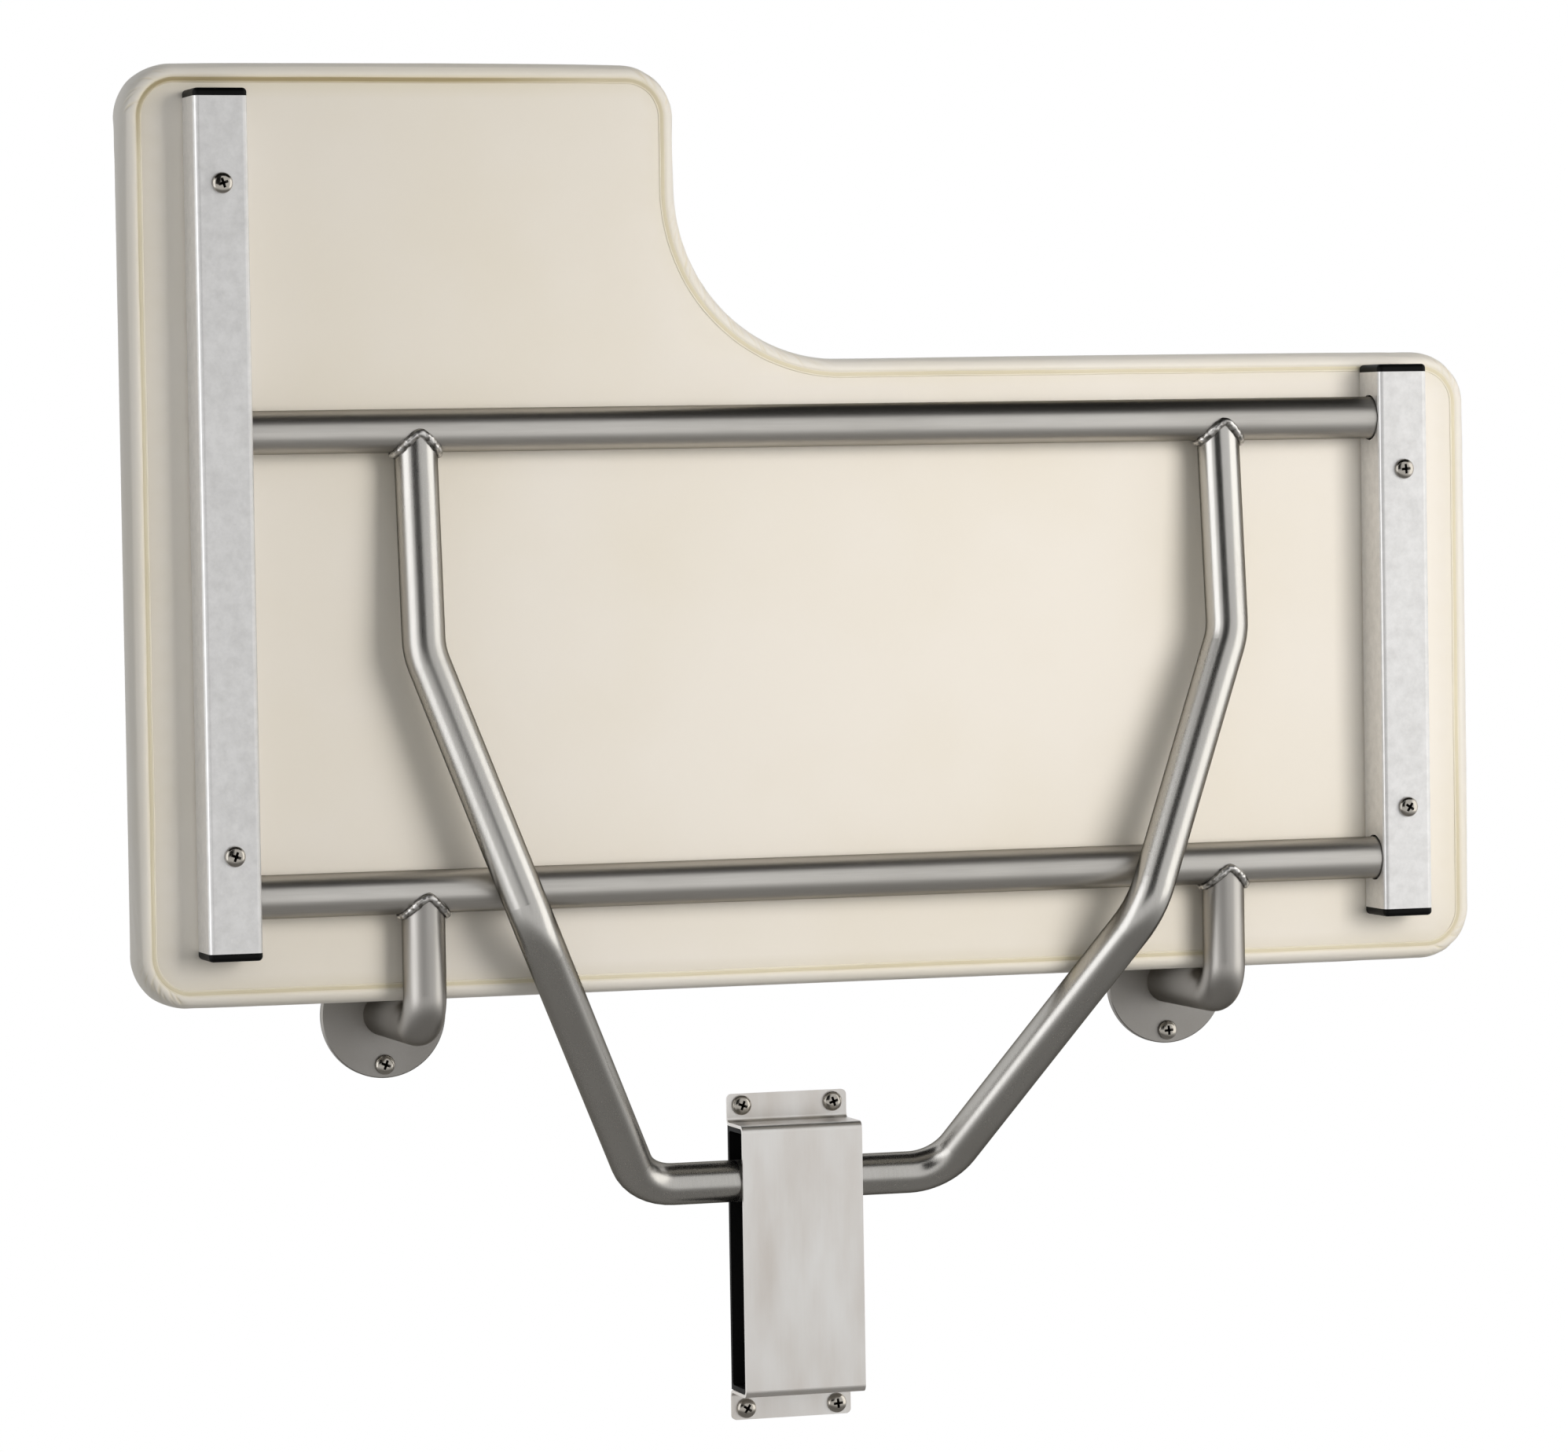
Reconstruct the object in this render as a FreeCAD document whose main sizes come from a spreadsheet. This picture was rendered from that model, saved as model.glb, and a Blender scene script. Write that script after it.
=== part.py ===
import FreeCAD, Part
import math
import os

import Sketcher

# Fold down wall seat, shown folded up against the wall, in millimetres.
# X runs to the right, Y into the wall and Z up. The wall is the plane y = 0.
# The origin lies on the wall, midway between the centres of the two round wall flanges.

DIMENSIONS = (
    ("frame_width", 762.0, "seat frame, outside to outside of the two square rails"),
    ("rail_side", 31.75, "square rail, outside"),
    ("rail_wall", 1.65, "square rail, wall thickness"),
    ("rail_corner", 3.2, "square rail, outside corner radius"),
    ("rail_tail", 31.0, "rail below the rear tube's axis"),
    ("left_rail_nose", 193.0, "left rail past the front tube's axis"),
    ("right_rail_nose", 27.5, "right rail past the front tube's axis"),
    ("left_screw_tail", 56.0, "lower screw of the left rail above its lower end"),
    ("right_screw_tail", 62.0, "lower screw of the right rail above its lower end"),
    ("left_screw_nose", 50.0, "upper screw of the left rail below its upper end"),
    ("right_screw_nose", 59.0, "upper screw of the right rail below its upper end"),
    ("cap_head", 4.6, "end cap, height of its head"),
    ("cap_round", 2.6, "end cap, rounding of its head"),
    ("cap_plug", 12.0, "end cap, length of its plug"),
    ("cap_plug_gap", 0.1, "end cap, gap between plug and rail"),
    ("cap_plug_wall", 2.2, "end cap, wall of its plug"),
    ("tube_diameter", 25.4, "all the round tubes, outside"),
    ("tube_wall", 1.65, "all the round tubes, wall thickness"),
    ("wall_standoff", 101.6, "rear tube's axis from the wall"),
    ("pivot_height", 79.0, "rear tube's axis above the wall flanges' centres"),
    ("pivot_reach", 268.0, "front tube's axis from the rear tube's axis"),
    ("tube_end_gap", 0.5, "round tube's end from the rail's far wall"),
    ("rail_hole_gap", 1.0, "hole in the rail round a tube, radial gap"),
    ("running_gap", 0.05, "pivot block round a tube, radial gap"),
    ("block_height", 28.0, "pivot block, along the rail"),
    ("arm_spacing", 500.0, "wall arms, axis to axis"),
    ("arm_bend", 19.0, "wall arm, bend radius of its axis"),
    ("flange_diameter", 76.2, "wall flange"),
    ("flange_thickness", 4.8, "wall flange"),
    ("flange_bolt_circle", 60.0, "wall flange, circle through its screws"),
    ("flange_hole", 6.4, "wall flange, screw hole"),
    ("flange_chamfer", 0.6, "wall flange, broken front edge"),
    ("weld_size", 2.4, "weld bead, leg length"),
    ("leg_spacing", 500.0, "support legs at the front tube, axis to axis"),
    ("leg_straight", 128.0, "leg's first bend below the front tube's axis"),
    ("knee_drop", 23.5, "leg's second bend below the rear tube's axis"),
    ("knee_spacing", 379.0, "second bends, axis to axis"),
    ("foot_spacing", 191.0, "third bends, axis to axis"),
    ("bar_drop", 188.0, "guide bar's axis below the rear tube's axis"),
    ("leg_bend_upper", 45.0, "leg, radius of its first bend"),
    ("leg_bend_knee", 50.0, "leg, radius of its second bend"),
    ("leg_bend_foot", 32.0, "leg, radius of its third bend"),
    ("leg_rest_gap", 0.4, "leg from the rear tube that it folds against"),
    ("bar_joint_gap", 0.2, "guide bar's end from a leg's end"),
    ("bar_side_gap", 0.5, "leg's end from the bracket's open side"),
    ("bracket_width", 76.2, "guide bracket, side to side"),
    ("bracket_height", 165.1, "guide bracket's raised face, with its webs"),
    ("bracket_depth", 31.75, "guide bracket, from the wall to its face"),
    ("bracket_flange", 17.0, "guide bracket, height of each screw flange"),
    ("bracket_sheet", 1.9, "guide bracket, sheet thickness"),
    ("bracket_bend", 2.4, "guide bracket, inside bend radius"),
    ("bracket_corner", 3.2, "guide bracket, round corners of its screw flanges"),
    ("bracket_offset", 2.5, "guide bracket's centre, right of the origin"),
    ("bracket_screw_spread", 58.0, "guide bracket's screws, side to side"),
    ("bracket_screw_edge", 7.0, "guide bracket's screws from the flange's edge"),
    ("liner_thickness", 3.0, "sliding liner of the guide bracket"),
    ("liner_side_gap", 0.6, "liner short of the bracket's open sides"),
    ("bar_stop_gap", 0.4, "guide bar above the liner with the seat down"),
    ("pad_left", 35.5, "pad past the left rail"),
    ("pad_right", 40.5, "pad past the right rail"),
    ("pad_tall_nose", 16.4, "pad past the left rail's upper cap"),
    ("pad_short_nose", 7.9, "pad past the right rail's upper cap"),
    ("pad_arm_gap", 0.8, "pad's lower edge above the wall arms"),
    ("tall_part_width", 334.0, "tall part of the pad, side to side"),
    ("pad_corner", 31.75, "pad, round corners"),
    ("pad_inner_corner", 100.0, "pad, hollow corner of the L"),
    ("pad_side", 38.0, "pad, thickness at its sides"),
    ("pad_crown", 6.0, "pad, rise of its middle above its sides"),
    ("pad_tuck", 2.5, "pad, sides drawn in at the underside"),
    ("pad_shoulder", 6.0, "pad, sides drawn in at the shoulder"),
    ("pad_crown_reach", 80.0, "pad, from its shoulder in to where the crown is level"),
    ("pad_least_corner", 12.0, "pad, smallest corner radius of a drawn-in layer"),
    ("board_inset", 10.0, "board and underside cover, inside the pad's outline"),
    ("board_thickness", 12.0, "plywood board in the pad"),
    ("board_gap", 0.3, "foam round the board"),
    ("cover_thickness", 1.2, "underside cover"),
    ("screw_head", 12.0, "pan head screws, head diameter"),
    ("screw_head_height", 3.6, "pan head screws, head height"),
    ("screw_shank", 5.5, "pan head screws, outside of the thread"),
    ("screw_neck", 4.6, "pan head screws, plain neck between head and thread"),
    ("wall_screw_length", 22.0, "screws into the wall, under the head"),
    ("rail_screw_length", 43.0, "screws through the rails, under the head"),
    ("screw_clearance", 0.3, "clearance hole round a shank, radial gap"),
    ("dome_across", 0.82, "pan head, place of its dome's middle as a share of the radius"),
    ("dome_up", 0.72, "pan head, height of its dome's middle as a share of the head's"),
    ("screw_turn", 31.0, "turn from one screw's recess to the next, in degrees"),
    ("recess_width", 5.6, "cross recess, tip to tip"),
    ("recess_slot", 1.5, "cross recess, width of a wing"),
    ("recess_depth", 2.0, "cross recess, depth"),
    ("insert_diameter", 9.0, "threaded insert in the board, outside"),
    ("insert_length", 10.0, "threaded insert in the board, length"),
)

UP = FreeCAD.Vector(0, 0, 1)
RIGHT = FreeCAD.Vector(1, 0, 0)
INTO_WALL = FreeCAD.Vector(0, 1, 0)

doc = FreeCAD.newDocument("fold_down_wall_seat")
sheet = doc.addObject("Spreadsheet::Sheet", "Dims")
nodes = []


def fill_sheet():
    """Write every driving dimension with its alias and its meaning."""
    for row, (alias, number, meaning) in enumerate(DIMENSIONS, start=1):
        sheet.set(f"A{row}", meaning)
        sheet.set(f"B{row}", str(number))
        sheet.setAlias(f"B{row}", alias)
    doc.recompute()


def size(formula):
    """Give the value of a formula of the sheet's cells, in millimetres or degrees."""
    return float(sheet.evalExpression(formula))


def vector(x, y, z):
    """Give the point whose coordinates are three formulas."""
    return FreeCAD.Vector(size(x), size(y), size(z))


# Formulas shared by several pieces
TUBE_RADIUS = "(Dims.tube_diameter / 2)"
TUBE_BORE = "(Dims.tube_diameter - 2 * Dims.tube_wall)"
RAIL_INSIDE = "(Dims.rail_side - 2 * Dims.rail_wall)"
RAIL_X = "(Dims.frame_width / 2 - Dims.rail_side / 2)"
RAIL_Z = "(Dims.pivot_height - Dims.rail_tail)"
FRONT_AXIS_Z = "(Dims.pivot_height + Dims.pivot_reach)"
PIVOT_TUBE_LENGTH = "(Dims.frame_width - 2 * Dims.rail_wall - 2 * Dims.tube_end_gap)"
RAIL_LENGTH = {
    "left": "(Dims.rail_tail + Dims.pivot_reach + Dims.left_rail_nose)",
    "right": "(Dims.rail_tail + Dims.pivot_reach + Dims.right_rail_nose)",
}
RAIL_SCREWS = {
    "left": ("Dims.left_screw_tail", f"({RAIL_LENGTH['left']} - Dims.left_screw_nose)"),
    "right": ("Dims.right_screw_tail", f"({RAIL_LENGTH['right']} - Dims.right_screw_nose)"),
}
SIDE_SIGN = {"left": -1, "right": 1}
SHANK_HOLE = "(Dims.screw_shank + 2 * Dims.screw_clearance)"

# The leg swings between the front tube and the guide bar, which slides along the wall.
# Its length, and so the lowest place of the bar, follows from where it lies folded up.
BAR_DEPTH = "((Dims.liner_thickness + Dims.bracket_depth - Dims.bracket_sheet) / 2)"
BAR_Z = "(Dims.pivot_height - Dims.bar_drop)"
LEG_LENGTH = (
    f"sqrt((Dims.wall_standoff - {BAR_DEPTH})^2 + (Dims.pivot_reach + Dims.bar_drop)^2)"
)
BAR_LOW_Z = (
    f"(Dims.pivot_height - sqrt({LEG_LENGTH}^2"
    f" - (Dims.wall_standoff - {BAR_DEPTH} + Dims.pivot_reach)^2))"
)
HAT_BOTTOM = (
    f"({BAR_LOW_Z} - {TUBE_RADIUS} - Dims.bar_stop_gap"
    " - Dims.liner_thickness - Dims.bracket_sheet)"
)
HAT_TOP = f"({HAT_BOTTOM} + Dims.bracket_height)"

# Pad outline, seen from the front, and the depths of its layers
PAD_FRONT_Y = "(Dims.rail_side / 2 - Dims.wall_standoff)"
PAD_LEFT_X = "(-Dims.frame_width / 2 - Dims.pad_left)"
PAD_RIGHT_X = "(Dims.frame_width / 2 + Dims.pad_right)"
PAD_STEP_X = f"({PAD_LEFT_X} + Dims.tall_part_width)"
PAD_LOW_Z = f"({TUBE_RADIUS} + Dims.pad_arm_gap)"
PAD_TALL_Z = f"({RAIL_Z} + {RAIL_LENGTH['left']} + Dims.cap_head + Dims.pad_tall_nose)"
PAD_SHORT_Z = f"({RAIL_Z} + {RAIL_LENGTH['right']} + Dims.cap_head + Dims.pad_short_nose)"
BOARD_FRONT_Y = f"({PAD_FRONT_Y} + Dims.cover_thickness)"


def keep(piece, label):
    """Name a finished piece and list it for writing."""
    piece.Label = label
    nodes.append(piece)
    return piece


def place(piece, x="0", y="0", z="0"):
    """Tie the place of a piece to the sheet."""
    piece.setExpression("Placement.Base.x", x)
    piece.setExpression("Placement.Base.y", y)
    piece.setExpression("Placement.Base.z", z)


def new_body(name):
    """Start a PartDesign body."""
    return doc.addObject("PartDesign::Body", name)


def new_sketch(body, name, role):
    """Start a sketch on one of the body's own origin planes."""
    sketch = body.newObject("Sketcher::SketchObject", name)
    plane = next(item for item in body.Origin.OriginFeatures if item.Role == role)
    sketch.AttachmentSupport = [(plane, "")]
    sketch.MapMode = "FlatFace"
    return sketch


def bind(sketch, constraint, formula):
    """Add a dimension to a sketch and tie it to the sheet."""
    index = sketch.addConstraint(constraint)
    sketch.setExpression(f"Constraints[{index}]", formula)


def add_circle(sketch, x, y, diameter):
    """Draw a circle whose centre and diameter are formulas."""
    centre = vector(x, y, "0")
    circle = Part.Circle(centre, UP, size(diameter) / 2)
    index = sketch.addGeometry(circle, False)
    bind(sketch, Sketcher.Constraint("Diameter", index, size(diameter)), diameter)
    bind(sketch, Sketcher.Constraint("DistanceX", -1, 1, index, 3, centre.x), x)
    bind(sketch, Sketcher.Constraint("DistanceY", -1, 1, index, 3, centre.y), y)


def corner_points(edges):
    """Give the corners of an outline of level and upright edges, taken in turn."""
    points = []
    for (kind, here), (_, following) in zip(edges, edges[1:] + edges[:1]):
        if kind == "level":
            points.append(vector(following, here, "0"))
        else:
            points.append(vector(here, following, "0"))
    return points


def corner_arc(before, corner, after, radius):
    """Give a tangent arc's two ends, its centre and its turn at a right-angled corner."""
    inward = (before - corner).normalize()
    outward = (after - corner).normalize()
    start = corner + inward * radius
    end = corner + outward * radius
    centre = corner + (inward + outward) * radius
    turn = (corner - before).cross(after - corner).z
    return start, end, centre, turn


def add_outline(sketch, edges, radii):
    """Draw a closed outline, counter-clockwise, of level and upright edges.

    Each edge is ("level", height) or ("upright", x), and each corner follows its edge.
    Heights, places and radii are formulas, and a radius of None is a sharp corner.
    """
    corners = corner_points(edges)
    count = len(edges)
    starts = list(corners[-1:] + corners[:-1])
    ends = list(corners)
    arcs = {}
    for index, radius in enumerate(radii):
        if radius is None:
            continue
        before = corners[index - 1]
        after = corners[(index + 1) % count]
        start, end, centre, turn = corner_arc(before, corners[index], after, size(radius))
        ends[index] = start
        starts[(index + 1) % count] = end
        arcs[index] = (start, end, centre, turn)
    lines = []
    for index, (kind, where) in enumerate(edges):
        line = sketch.addGeometry(Part.LineSegment(starts[index], ends[index]), False)
        lines.append(line)
        if kind == "level":
            sketch.addConstraint(Sketcher.Constraint("Horizontal", line))
            bind(sketch, Sketcher.Constraint("DistanceY", -1, 1, line, 1, starts[index].y), where)
        else:
            sketch.addConstraint(Sketcher.Constraint("Vertical", line))
            bind(sketch, Sketcher.Constraint("DistanceX", -1, 1, line, 1, starts[index].x), where)
    for index in range(count):
        following = lines[(index + 1) % count]
        if index not in arcs:
            sketch.addConstraint(Sketcher.Constraint("Coincident", lines[index], 2, following, 1))
            continue
        start, end, centre, turn = arcs[index]
        first, second = (start, end) if turn > 0 else (end, start)
        circle = Part.Circle(centre, UP, (start - centre).Length)
        span = (circle.parameter(first), circle.parameter(second))
        arc = sketch.addGeometry(Part.ArcOfCircle(circle, *span), False)
        near, far = (1, 2) if turn > 0 else (2, 1)
        sketch.addConstraint(Sketcher.Constraint("Tangent", lines[index], 2, arc, near))
        sketch.addConstraint(Sketcher.Constraint("Tangent", arc, far, following, 1))
        radius = (start - centre).Length
        bind(sketch, Sketcher.Constraint("Radius", arc, radius), radii[index])


def add_rectangle(sketch, width, height, radius=None, x="0", y="0"):
    """Draw a rectangle about a centre, with round or sharp corners."""
    edges = [
        ("level", f"{y} - {height} / 2"),
        ("upright", f"{x} + {width} / 2"),
        ("level", f"{y} + {height} / 2"),
        ("upright", f"{x} - {width} / 2"),
    ]
    add_outline(sketch, edges, [radius] * 4)


def pad(body, sketch, length, both_ways=False, backwards=False):
    """Extrude a sketch into solid material."""
    feature = body.newObject("PartDesign::Pad", f"{sketch.Name}_pad")
    feature.Profile = sketch
    feature.Midplane = both_ways
    feature.Reversed = backwards
    feature.setExpression("Length", length)
    doc.recompute()
    return feature


def pocket(body, sketch, length=None, backwards=False):
    """Cut a sketch out of the body, right through or to a length on one side."""
    before = body.Tip.Shape.Volume
    feature = body.newObject("PartDesign::Pocket", f"{sketch.Name}_cut")
    feature.Profile = sketch
    if length is None:
        feature.Type = "ThroughAll"
        feature.Midplane = True
    else:
        feature.Reversed = backwards
        feature.setExpression("Length", length)
    doc.recompute()
    if feature.Shape.Volume >= before - 1e-6:
        raise RuntimeError(f"{feature.Name} cuts nothing")
    return feature


def round_edges(body, name, radius, chosen, kind="PartDesign::Fillet"):
    """Round or break those edges of the body that a test picks."""
    base = body.Tip
    picked = [
        f"Edge{number}"
        for number, edge in enumerate(base.Shape.Edges, start=1)
        if chosen(edge)
    ]
    feature = body.newObject(kind, name)
    feature.Base = (base, picked)
    feature.setExpression("Radius" if kind.endswith("Fillet") else "Size", radius)
    doc.recompute()
    return feature


def straight_tube(label, length):
    """Make a round tube along X, centred on its own origin."""
    body = new_body(label)
    ring = new_sketch(body, f"{label}_ring", "YZ_Plane")
    add_circle(ring, "0", "0", "Dims.tube_diameter")
    add_circle(ring, "0", "0", TUBE_BORE)
    pad(body, ring, length, both_ways=True)
    return keep(body, label)


def wall_flange(side):
    """Make a round wall flange with three screw holes, one of them lowest."""
    label = f"{side}_wall_flange"
    body = new_body(label)
    disc = new_sketch(body, f"{label}_disc", "XZ_Plane")
    add_circle(disc, "0", "0", "Dims.flange_diameter")
    pad(body, disc, "Dims.flange_thickness")
    front = -size("Dims.flange_thickness")
    round_edges(
        body,
        f"{label}_edge",
        "Dims.flange_chamfer",
        lambda edge: abs(edge.CenterOfMass.y - front) < 1e-4,
        kind="PartDesign::Chamfer",
    )
    hole = new_sketch(body, f"{label}_hole", "XZ_Plane")
    add_circle(hole, "0", "-Dims.flange_bolt_circle / 2", "Dims.flange_hole")
    cut = pocket(body, hole)
    pattern = body.newObject("PartDesign::PolarPattern", f"{label}_holes")
    axis = next(item for item in body.Origin.OriginFeatures if item.Role == "Y_Axis")
    pattern.Originals = [cut]
    pattern.Axis = (axis, [""])
    pattern.Angle = 360
    pattern.Occurrences = 3
    body.Tip = pattern
    place(body, x=f"{SIDE_SIGN[side]} * Dims.arm_spacing / 2")
    return keep(body, label)


def bent_path(points, radii):
    """Give a wire of straight runs joined by tangent arcs at the inner points."""
    edges = []
    start = points[0]
    for before, corner, after, radius in zip(points, points[1:], points[2:], radii):
        inward = (before - corner).normalize()
        outward = (after - corner).normalize()
        half_turn = (math.pi - inward.getAngle(outward)) / 2
        reach = radius * math.tan(half_turn)
        arc_start = corner + inward * reach
        arc_end = corner + outward * reach
        middle = (inward + outward).normalize()
        sagitta = radius / math.cos(half_turn) - radius
        arc_middle = corner + middle * sagitta
        edges.append(Part.LineSegment(start, arc_start).toShape())
        edges.append(Part.Arc(arc_start, arc_middle, arc_end).toShape())
        start = arc_end
    edges.append(Part.LineSegment(start, points[-1]).toShape())
    return Part.Wire(edges)


def swept_rod(path, diameter):
    """Sweep a round section along a wire into a solid."""
    first = path.Edges[0]
    start = first.valueAt(first.FirstParameter)
    heading = first.tangentAt(first.FirstParameter)
    section = Part.Wire(Part.makeCircle(diameter / 2, start, heading))
    return path.makePipeShell([section], True, False)


def bent_tube(label, points, radii, cope_centre):
    """Make a bent round tube whose first end is coped to fit a tube along X."""
    path = bent_path(points, radii)
    outside = swept_rod(path, size("Dims.tube_diameter"))
    inside = swept_rod(path, size(TUBE_BORE))
    reach = 4 * size("Dims.tube_diameter")
    cope = Part.makeCylinder(
        size(TUBE_RADIUS),
        reach,
        cope_centre - RIGHT * (reach / 2),
        RIGHT,
    )
    shape = outside.cut(inside).cut(cope)
    largest = max(shape.Solids, key=lambda solid: solid.Volume)
    tube = doc.addObject("Part::Feature", label)
    tube.Shape = largest
    return keep(tube, label)


def wall_arm(side):
    """Make a short arm from the rear tube down, and back to its wall flange."""
    x = f"{SIDE_SIGN[side]} * Dims.arm_spacing / 2"
    top = vector(x, "-Dims.wall_standoff", "Dims.pivot_height")
    corner = vector(x, "-Dims.wall_standoff", "0")
    foot = vector(x, "-Dims.flange_thickness", "0")
    return bent_tube(f"{side}_wall_arm", [top, corner, foot], [size("Dims.arm_bend")], top)


def leg_tilt():
    """Give the angle by which the upper leg leans out to pass the rear tube."""
    return math.asin(size("(Dims.tube_diameter + Dims.leg_rest_gap) / Dims.pivot_reach"))


def leg_points(side):
    """Give the corners of a leg's axis, from the front tube to its end at the bracket."""
    sign = SIDE_SIGN[side]
    lean = math.tan(leg_tilt())
    front_z = size(FRONT_AXIS_Z)
    standoff = size("Dims.wall_standoff")
    straight = size("Dims.leg_straight")
    knee = size("Dims.pivot_reach + Dims.knee_drop")
    top_x = sign * size("Dims.leg_spacing") / 2
    knee_x = sign * size("Dims.knee_spacing") / 2
    foot_x = sign * size("Dims.foot_spacing") / 2
    half_bracket = size("Dims.bracket_width / 2 + Dims.bar_side_gap")
    end_x = size("Dims.bracket_offset") + sign * half_bracket
    bar = vector("0", f"-{BAR_DEPTH}", BAR_Z)
    return [
        FreeCAD.Vector(top_x, -standoff, front_z),
        FreeCAD.Vector(top_x, -standoff - straight * lean, front_z - straight),
        FreeCAD.Vector(knee_x, -standoff - knee * lean, front_z - knee),
        FreeCAD.Vector(foot_x, bar.y, bar.z),
        FreeCAD.Vector(end_x, bar.y, bar.z),
    ]


def leg_tube(side):
    """Make one half of the bent support leg."""
    points = leg_points(side)
    radii = [
        size("Dims.leg_bend_upper"),
        size("Dims.leg_bend_knee"),
        size("Dims.leg_bend_foot"),
    ]
    return bent_tube(f"{side}_leg_tube", points, radii, points[0])


def round_bar(name, diameter, length, x, y, z, axis, angle):
    """Make a cylinder primitive, turned about an axis through its own base."""
    bar = doc.addObject("Part::Cylinder", name)
    bar.setExpression("Radius", f"{diameter} / 2")
    bar.setExpression("Height", length)
    bar.Placement = FreeCAD.Placement(FreeCAD.Vector(), FreeCAD.Rotation(axis, angle))
    place(bar, x, y, z)
    return bar


def boolean(kind, name, base, tool):
    """Combine two objects with a Part boolean."""
    result = doc.addObject(kind, name)
    result.Base = base
    result.Tool = tool
    return result


def weld_bead(label, x, z, lean):
    """Make the bead where a tube below joins a tube along X, at a lean in degrees."""
    wide = "Dims.tube_diameter + 2 * Dims.weld_size"
    long = "2 * Dims.tube_diameter"
    y = "-Dims.wall_standoff"
    turned = 180 + lean
    collar = round_bar(f"{label}_collar", f"({wide})", long, x, y, z, RIGHT, turned)
    branch = round_bar(f"{label}_branch", "Dims.tube_diameter", long, x, y, z, RIGHT, turned)
    start = f"{x} - Dims.tube_diameter"
    reach = round_bar(f"{label}_reach", f"({wide})", long, start, y, z, INTO_WALL, 90)
    main = round_bar(f"{label}_main", "Dims.tube_diameter", long, start, y, z, INTO_WALL, 90)
    ring = boolean("Part::Cut", f"{label}_ring", collar, branch)
    near = boolean("Part::Common", f"{label}_near", ring, reach)
    bead = boolean("Part::Cut", label, near, main)
    return keep(bead, label)


def rail(side):
    """Make a square rail with its tube holes in the inner wall and two screw holes."""
    label = f"{side}_rail"
    body = new_body(label)
    outside = new_sketch(body, f"{label}_outside", "XY_Plane")
    add_rectangle(outside, "Dims.rail_side", "Dims.rail_side", "Dims.rail_corner")
    pad(body, outside, RAIL_LENGTH[side])
    inside = new_sketch(body, f"{label}_inside", "XY_Plane")
    inner_corner = "(Dims.rail_corner - Dims.rail_wall)"
    add_rectangle(inside, RAIL_INSIDE, RAIL_INSIDE, inner_corner)
    pocket(body, inside)
    tubes = new_sketch(body, f"{label}_tube_holes", "YZ_Plane")
    hole = "Dims.tube_diameter + 2 * Dims.rail_hole_gap"
    add_circle(tubes, "0", "Dims.rail_tail", hole)
    add_circle(tubes, "0", "Dims.rail_tail + Dims.pivot_reach", hole)
    pocket(body, tubes, "Dims.rail_side", backwards=side == "left")
    screws = new_sketch(body, f"{label}_screw_holes", "XZ_Plane")
    for height in RAIL_SCREWS[side]:
        add_circle(screws, "0", height, SHANK_HOLE)
    pocket(body, screws)
    place(body, f"{SIDE_SIGN[side]} * {RAIL_X}", "-Dims.wall_standoff", RAIL_Z)
    return keep(body, label)


def rail_cap(side, end):
    """Make a push-in end cap: a head with a round rim and a hollow plug."""
    label = f"{side}_rail_{end}_cap"
    body = new_body(label)
    head = new_sketch(body, f"{label}_head", "XY_Plane")
    add_rectangle(head, "Dims.rail_side", "Dims.rail_side", "Dims.rail_corner")
    pad(body, head, "Dims.cap_head")
    top = size("Dims.cap_head")
    round_edges(
        body,
        f"{label}_rim",
        "Dims.cap_round",
        lambda edge: abs(edge.CenterOfMass.z - top) < 1e-4,
    )
    plug = new_sketch(body, f"{label}_plug", "XY_Plane")
    outer = f"({RAIL_INSIDE} - 2 * Dims.cap_plug_gap)"
    inner = f"({outer} - 2 * Dims.cap_plug_wall)"
    add_rectangle(plug, outer, outer, "Dims.rail_corner")
    add_rectangle(plug, inner, inner)
    pad(body, plug, "Dims.cap_plug", backwards=True)
    if end == "upper":
        height = f"{RAIL_Z} + {RAIL_LENGTH[side]}"
    else:
        height = RAIL_Z
        body.Placement = FreeCAD.Placement(FreeCAD.Vector(), FreeCAD.Rotation(RIGHT, 180))
    place(body, f"{SIDE_SIGN[side]} * {RAIL_X}", "-Dims.wall_standoff", height)
    return keep(body, label)


def pivot_block(side, end):
    """Make a nylon block that fills the rail and carries a tube's end."""
    label = f"{side}_{end}_pivot_block"
    body = new_body(label)
    block = new_sketch(body, f"{label}_block", "XY_Plane")
    add_rectangle(block, RAIL_INSIDE, RAIL_INSIDE, "Dims.rail_corner")
    pad(body, block, "Dims.block_height", both_ways=True)
    bore = new_sketch(body, f"{label}_bore", "YZ_Plane")
    add_circle(bore, "0", "0", "Dims.tube_diameter + 2 * Dims.running_gap")
    pocket(body, bore)
    height = FRONT_AXIS_Z if end == "front" else "Dims.pivot_height"
    place(body, f"{SIDE_SIGN[side]} * {RAIL_X}", "-Dims.wall_standoff", height)
    return keep(body, label)


def hat_edges():
    """Give the guide bracket's section as level and upright edges in the YZ plane."""
    sheet_y = "-Dims.bracket_sheet"
    face = "-Dims.bracket_depth"
    face_inside = "Dims.bracket_sheet - Dims.bracket_depth"
    return [
        ("level", f"{HAT_BOTTOM} - Dims.bracket_flange"),
        ("upright", "0"),
        ("level", f"{HAT_BOTTOM} + Dims.bracket_sheet"),
        ("upright", face_inside),
        ("level", f"{HAT_TOP} - Dims.bracket_sheet"),
        ("upright", "0"),
        ("level", f"{HAT_TOP} + Dims.bracket_flange"),
        ("upright", sheet_y),
        ("level", HAT_TOP),
        ("upright", face),
        ("level", HAT_BOTTOM),
        ("upright", sheet_y),
    ]


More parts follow.
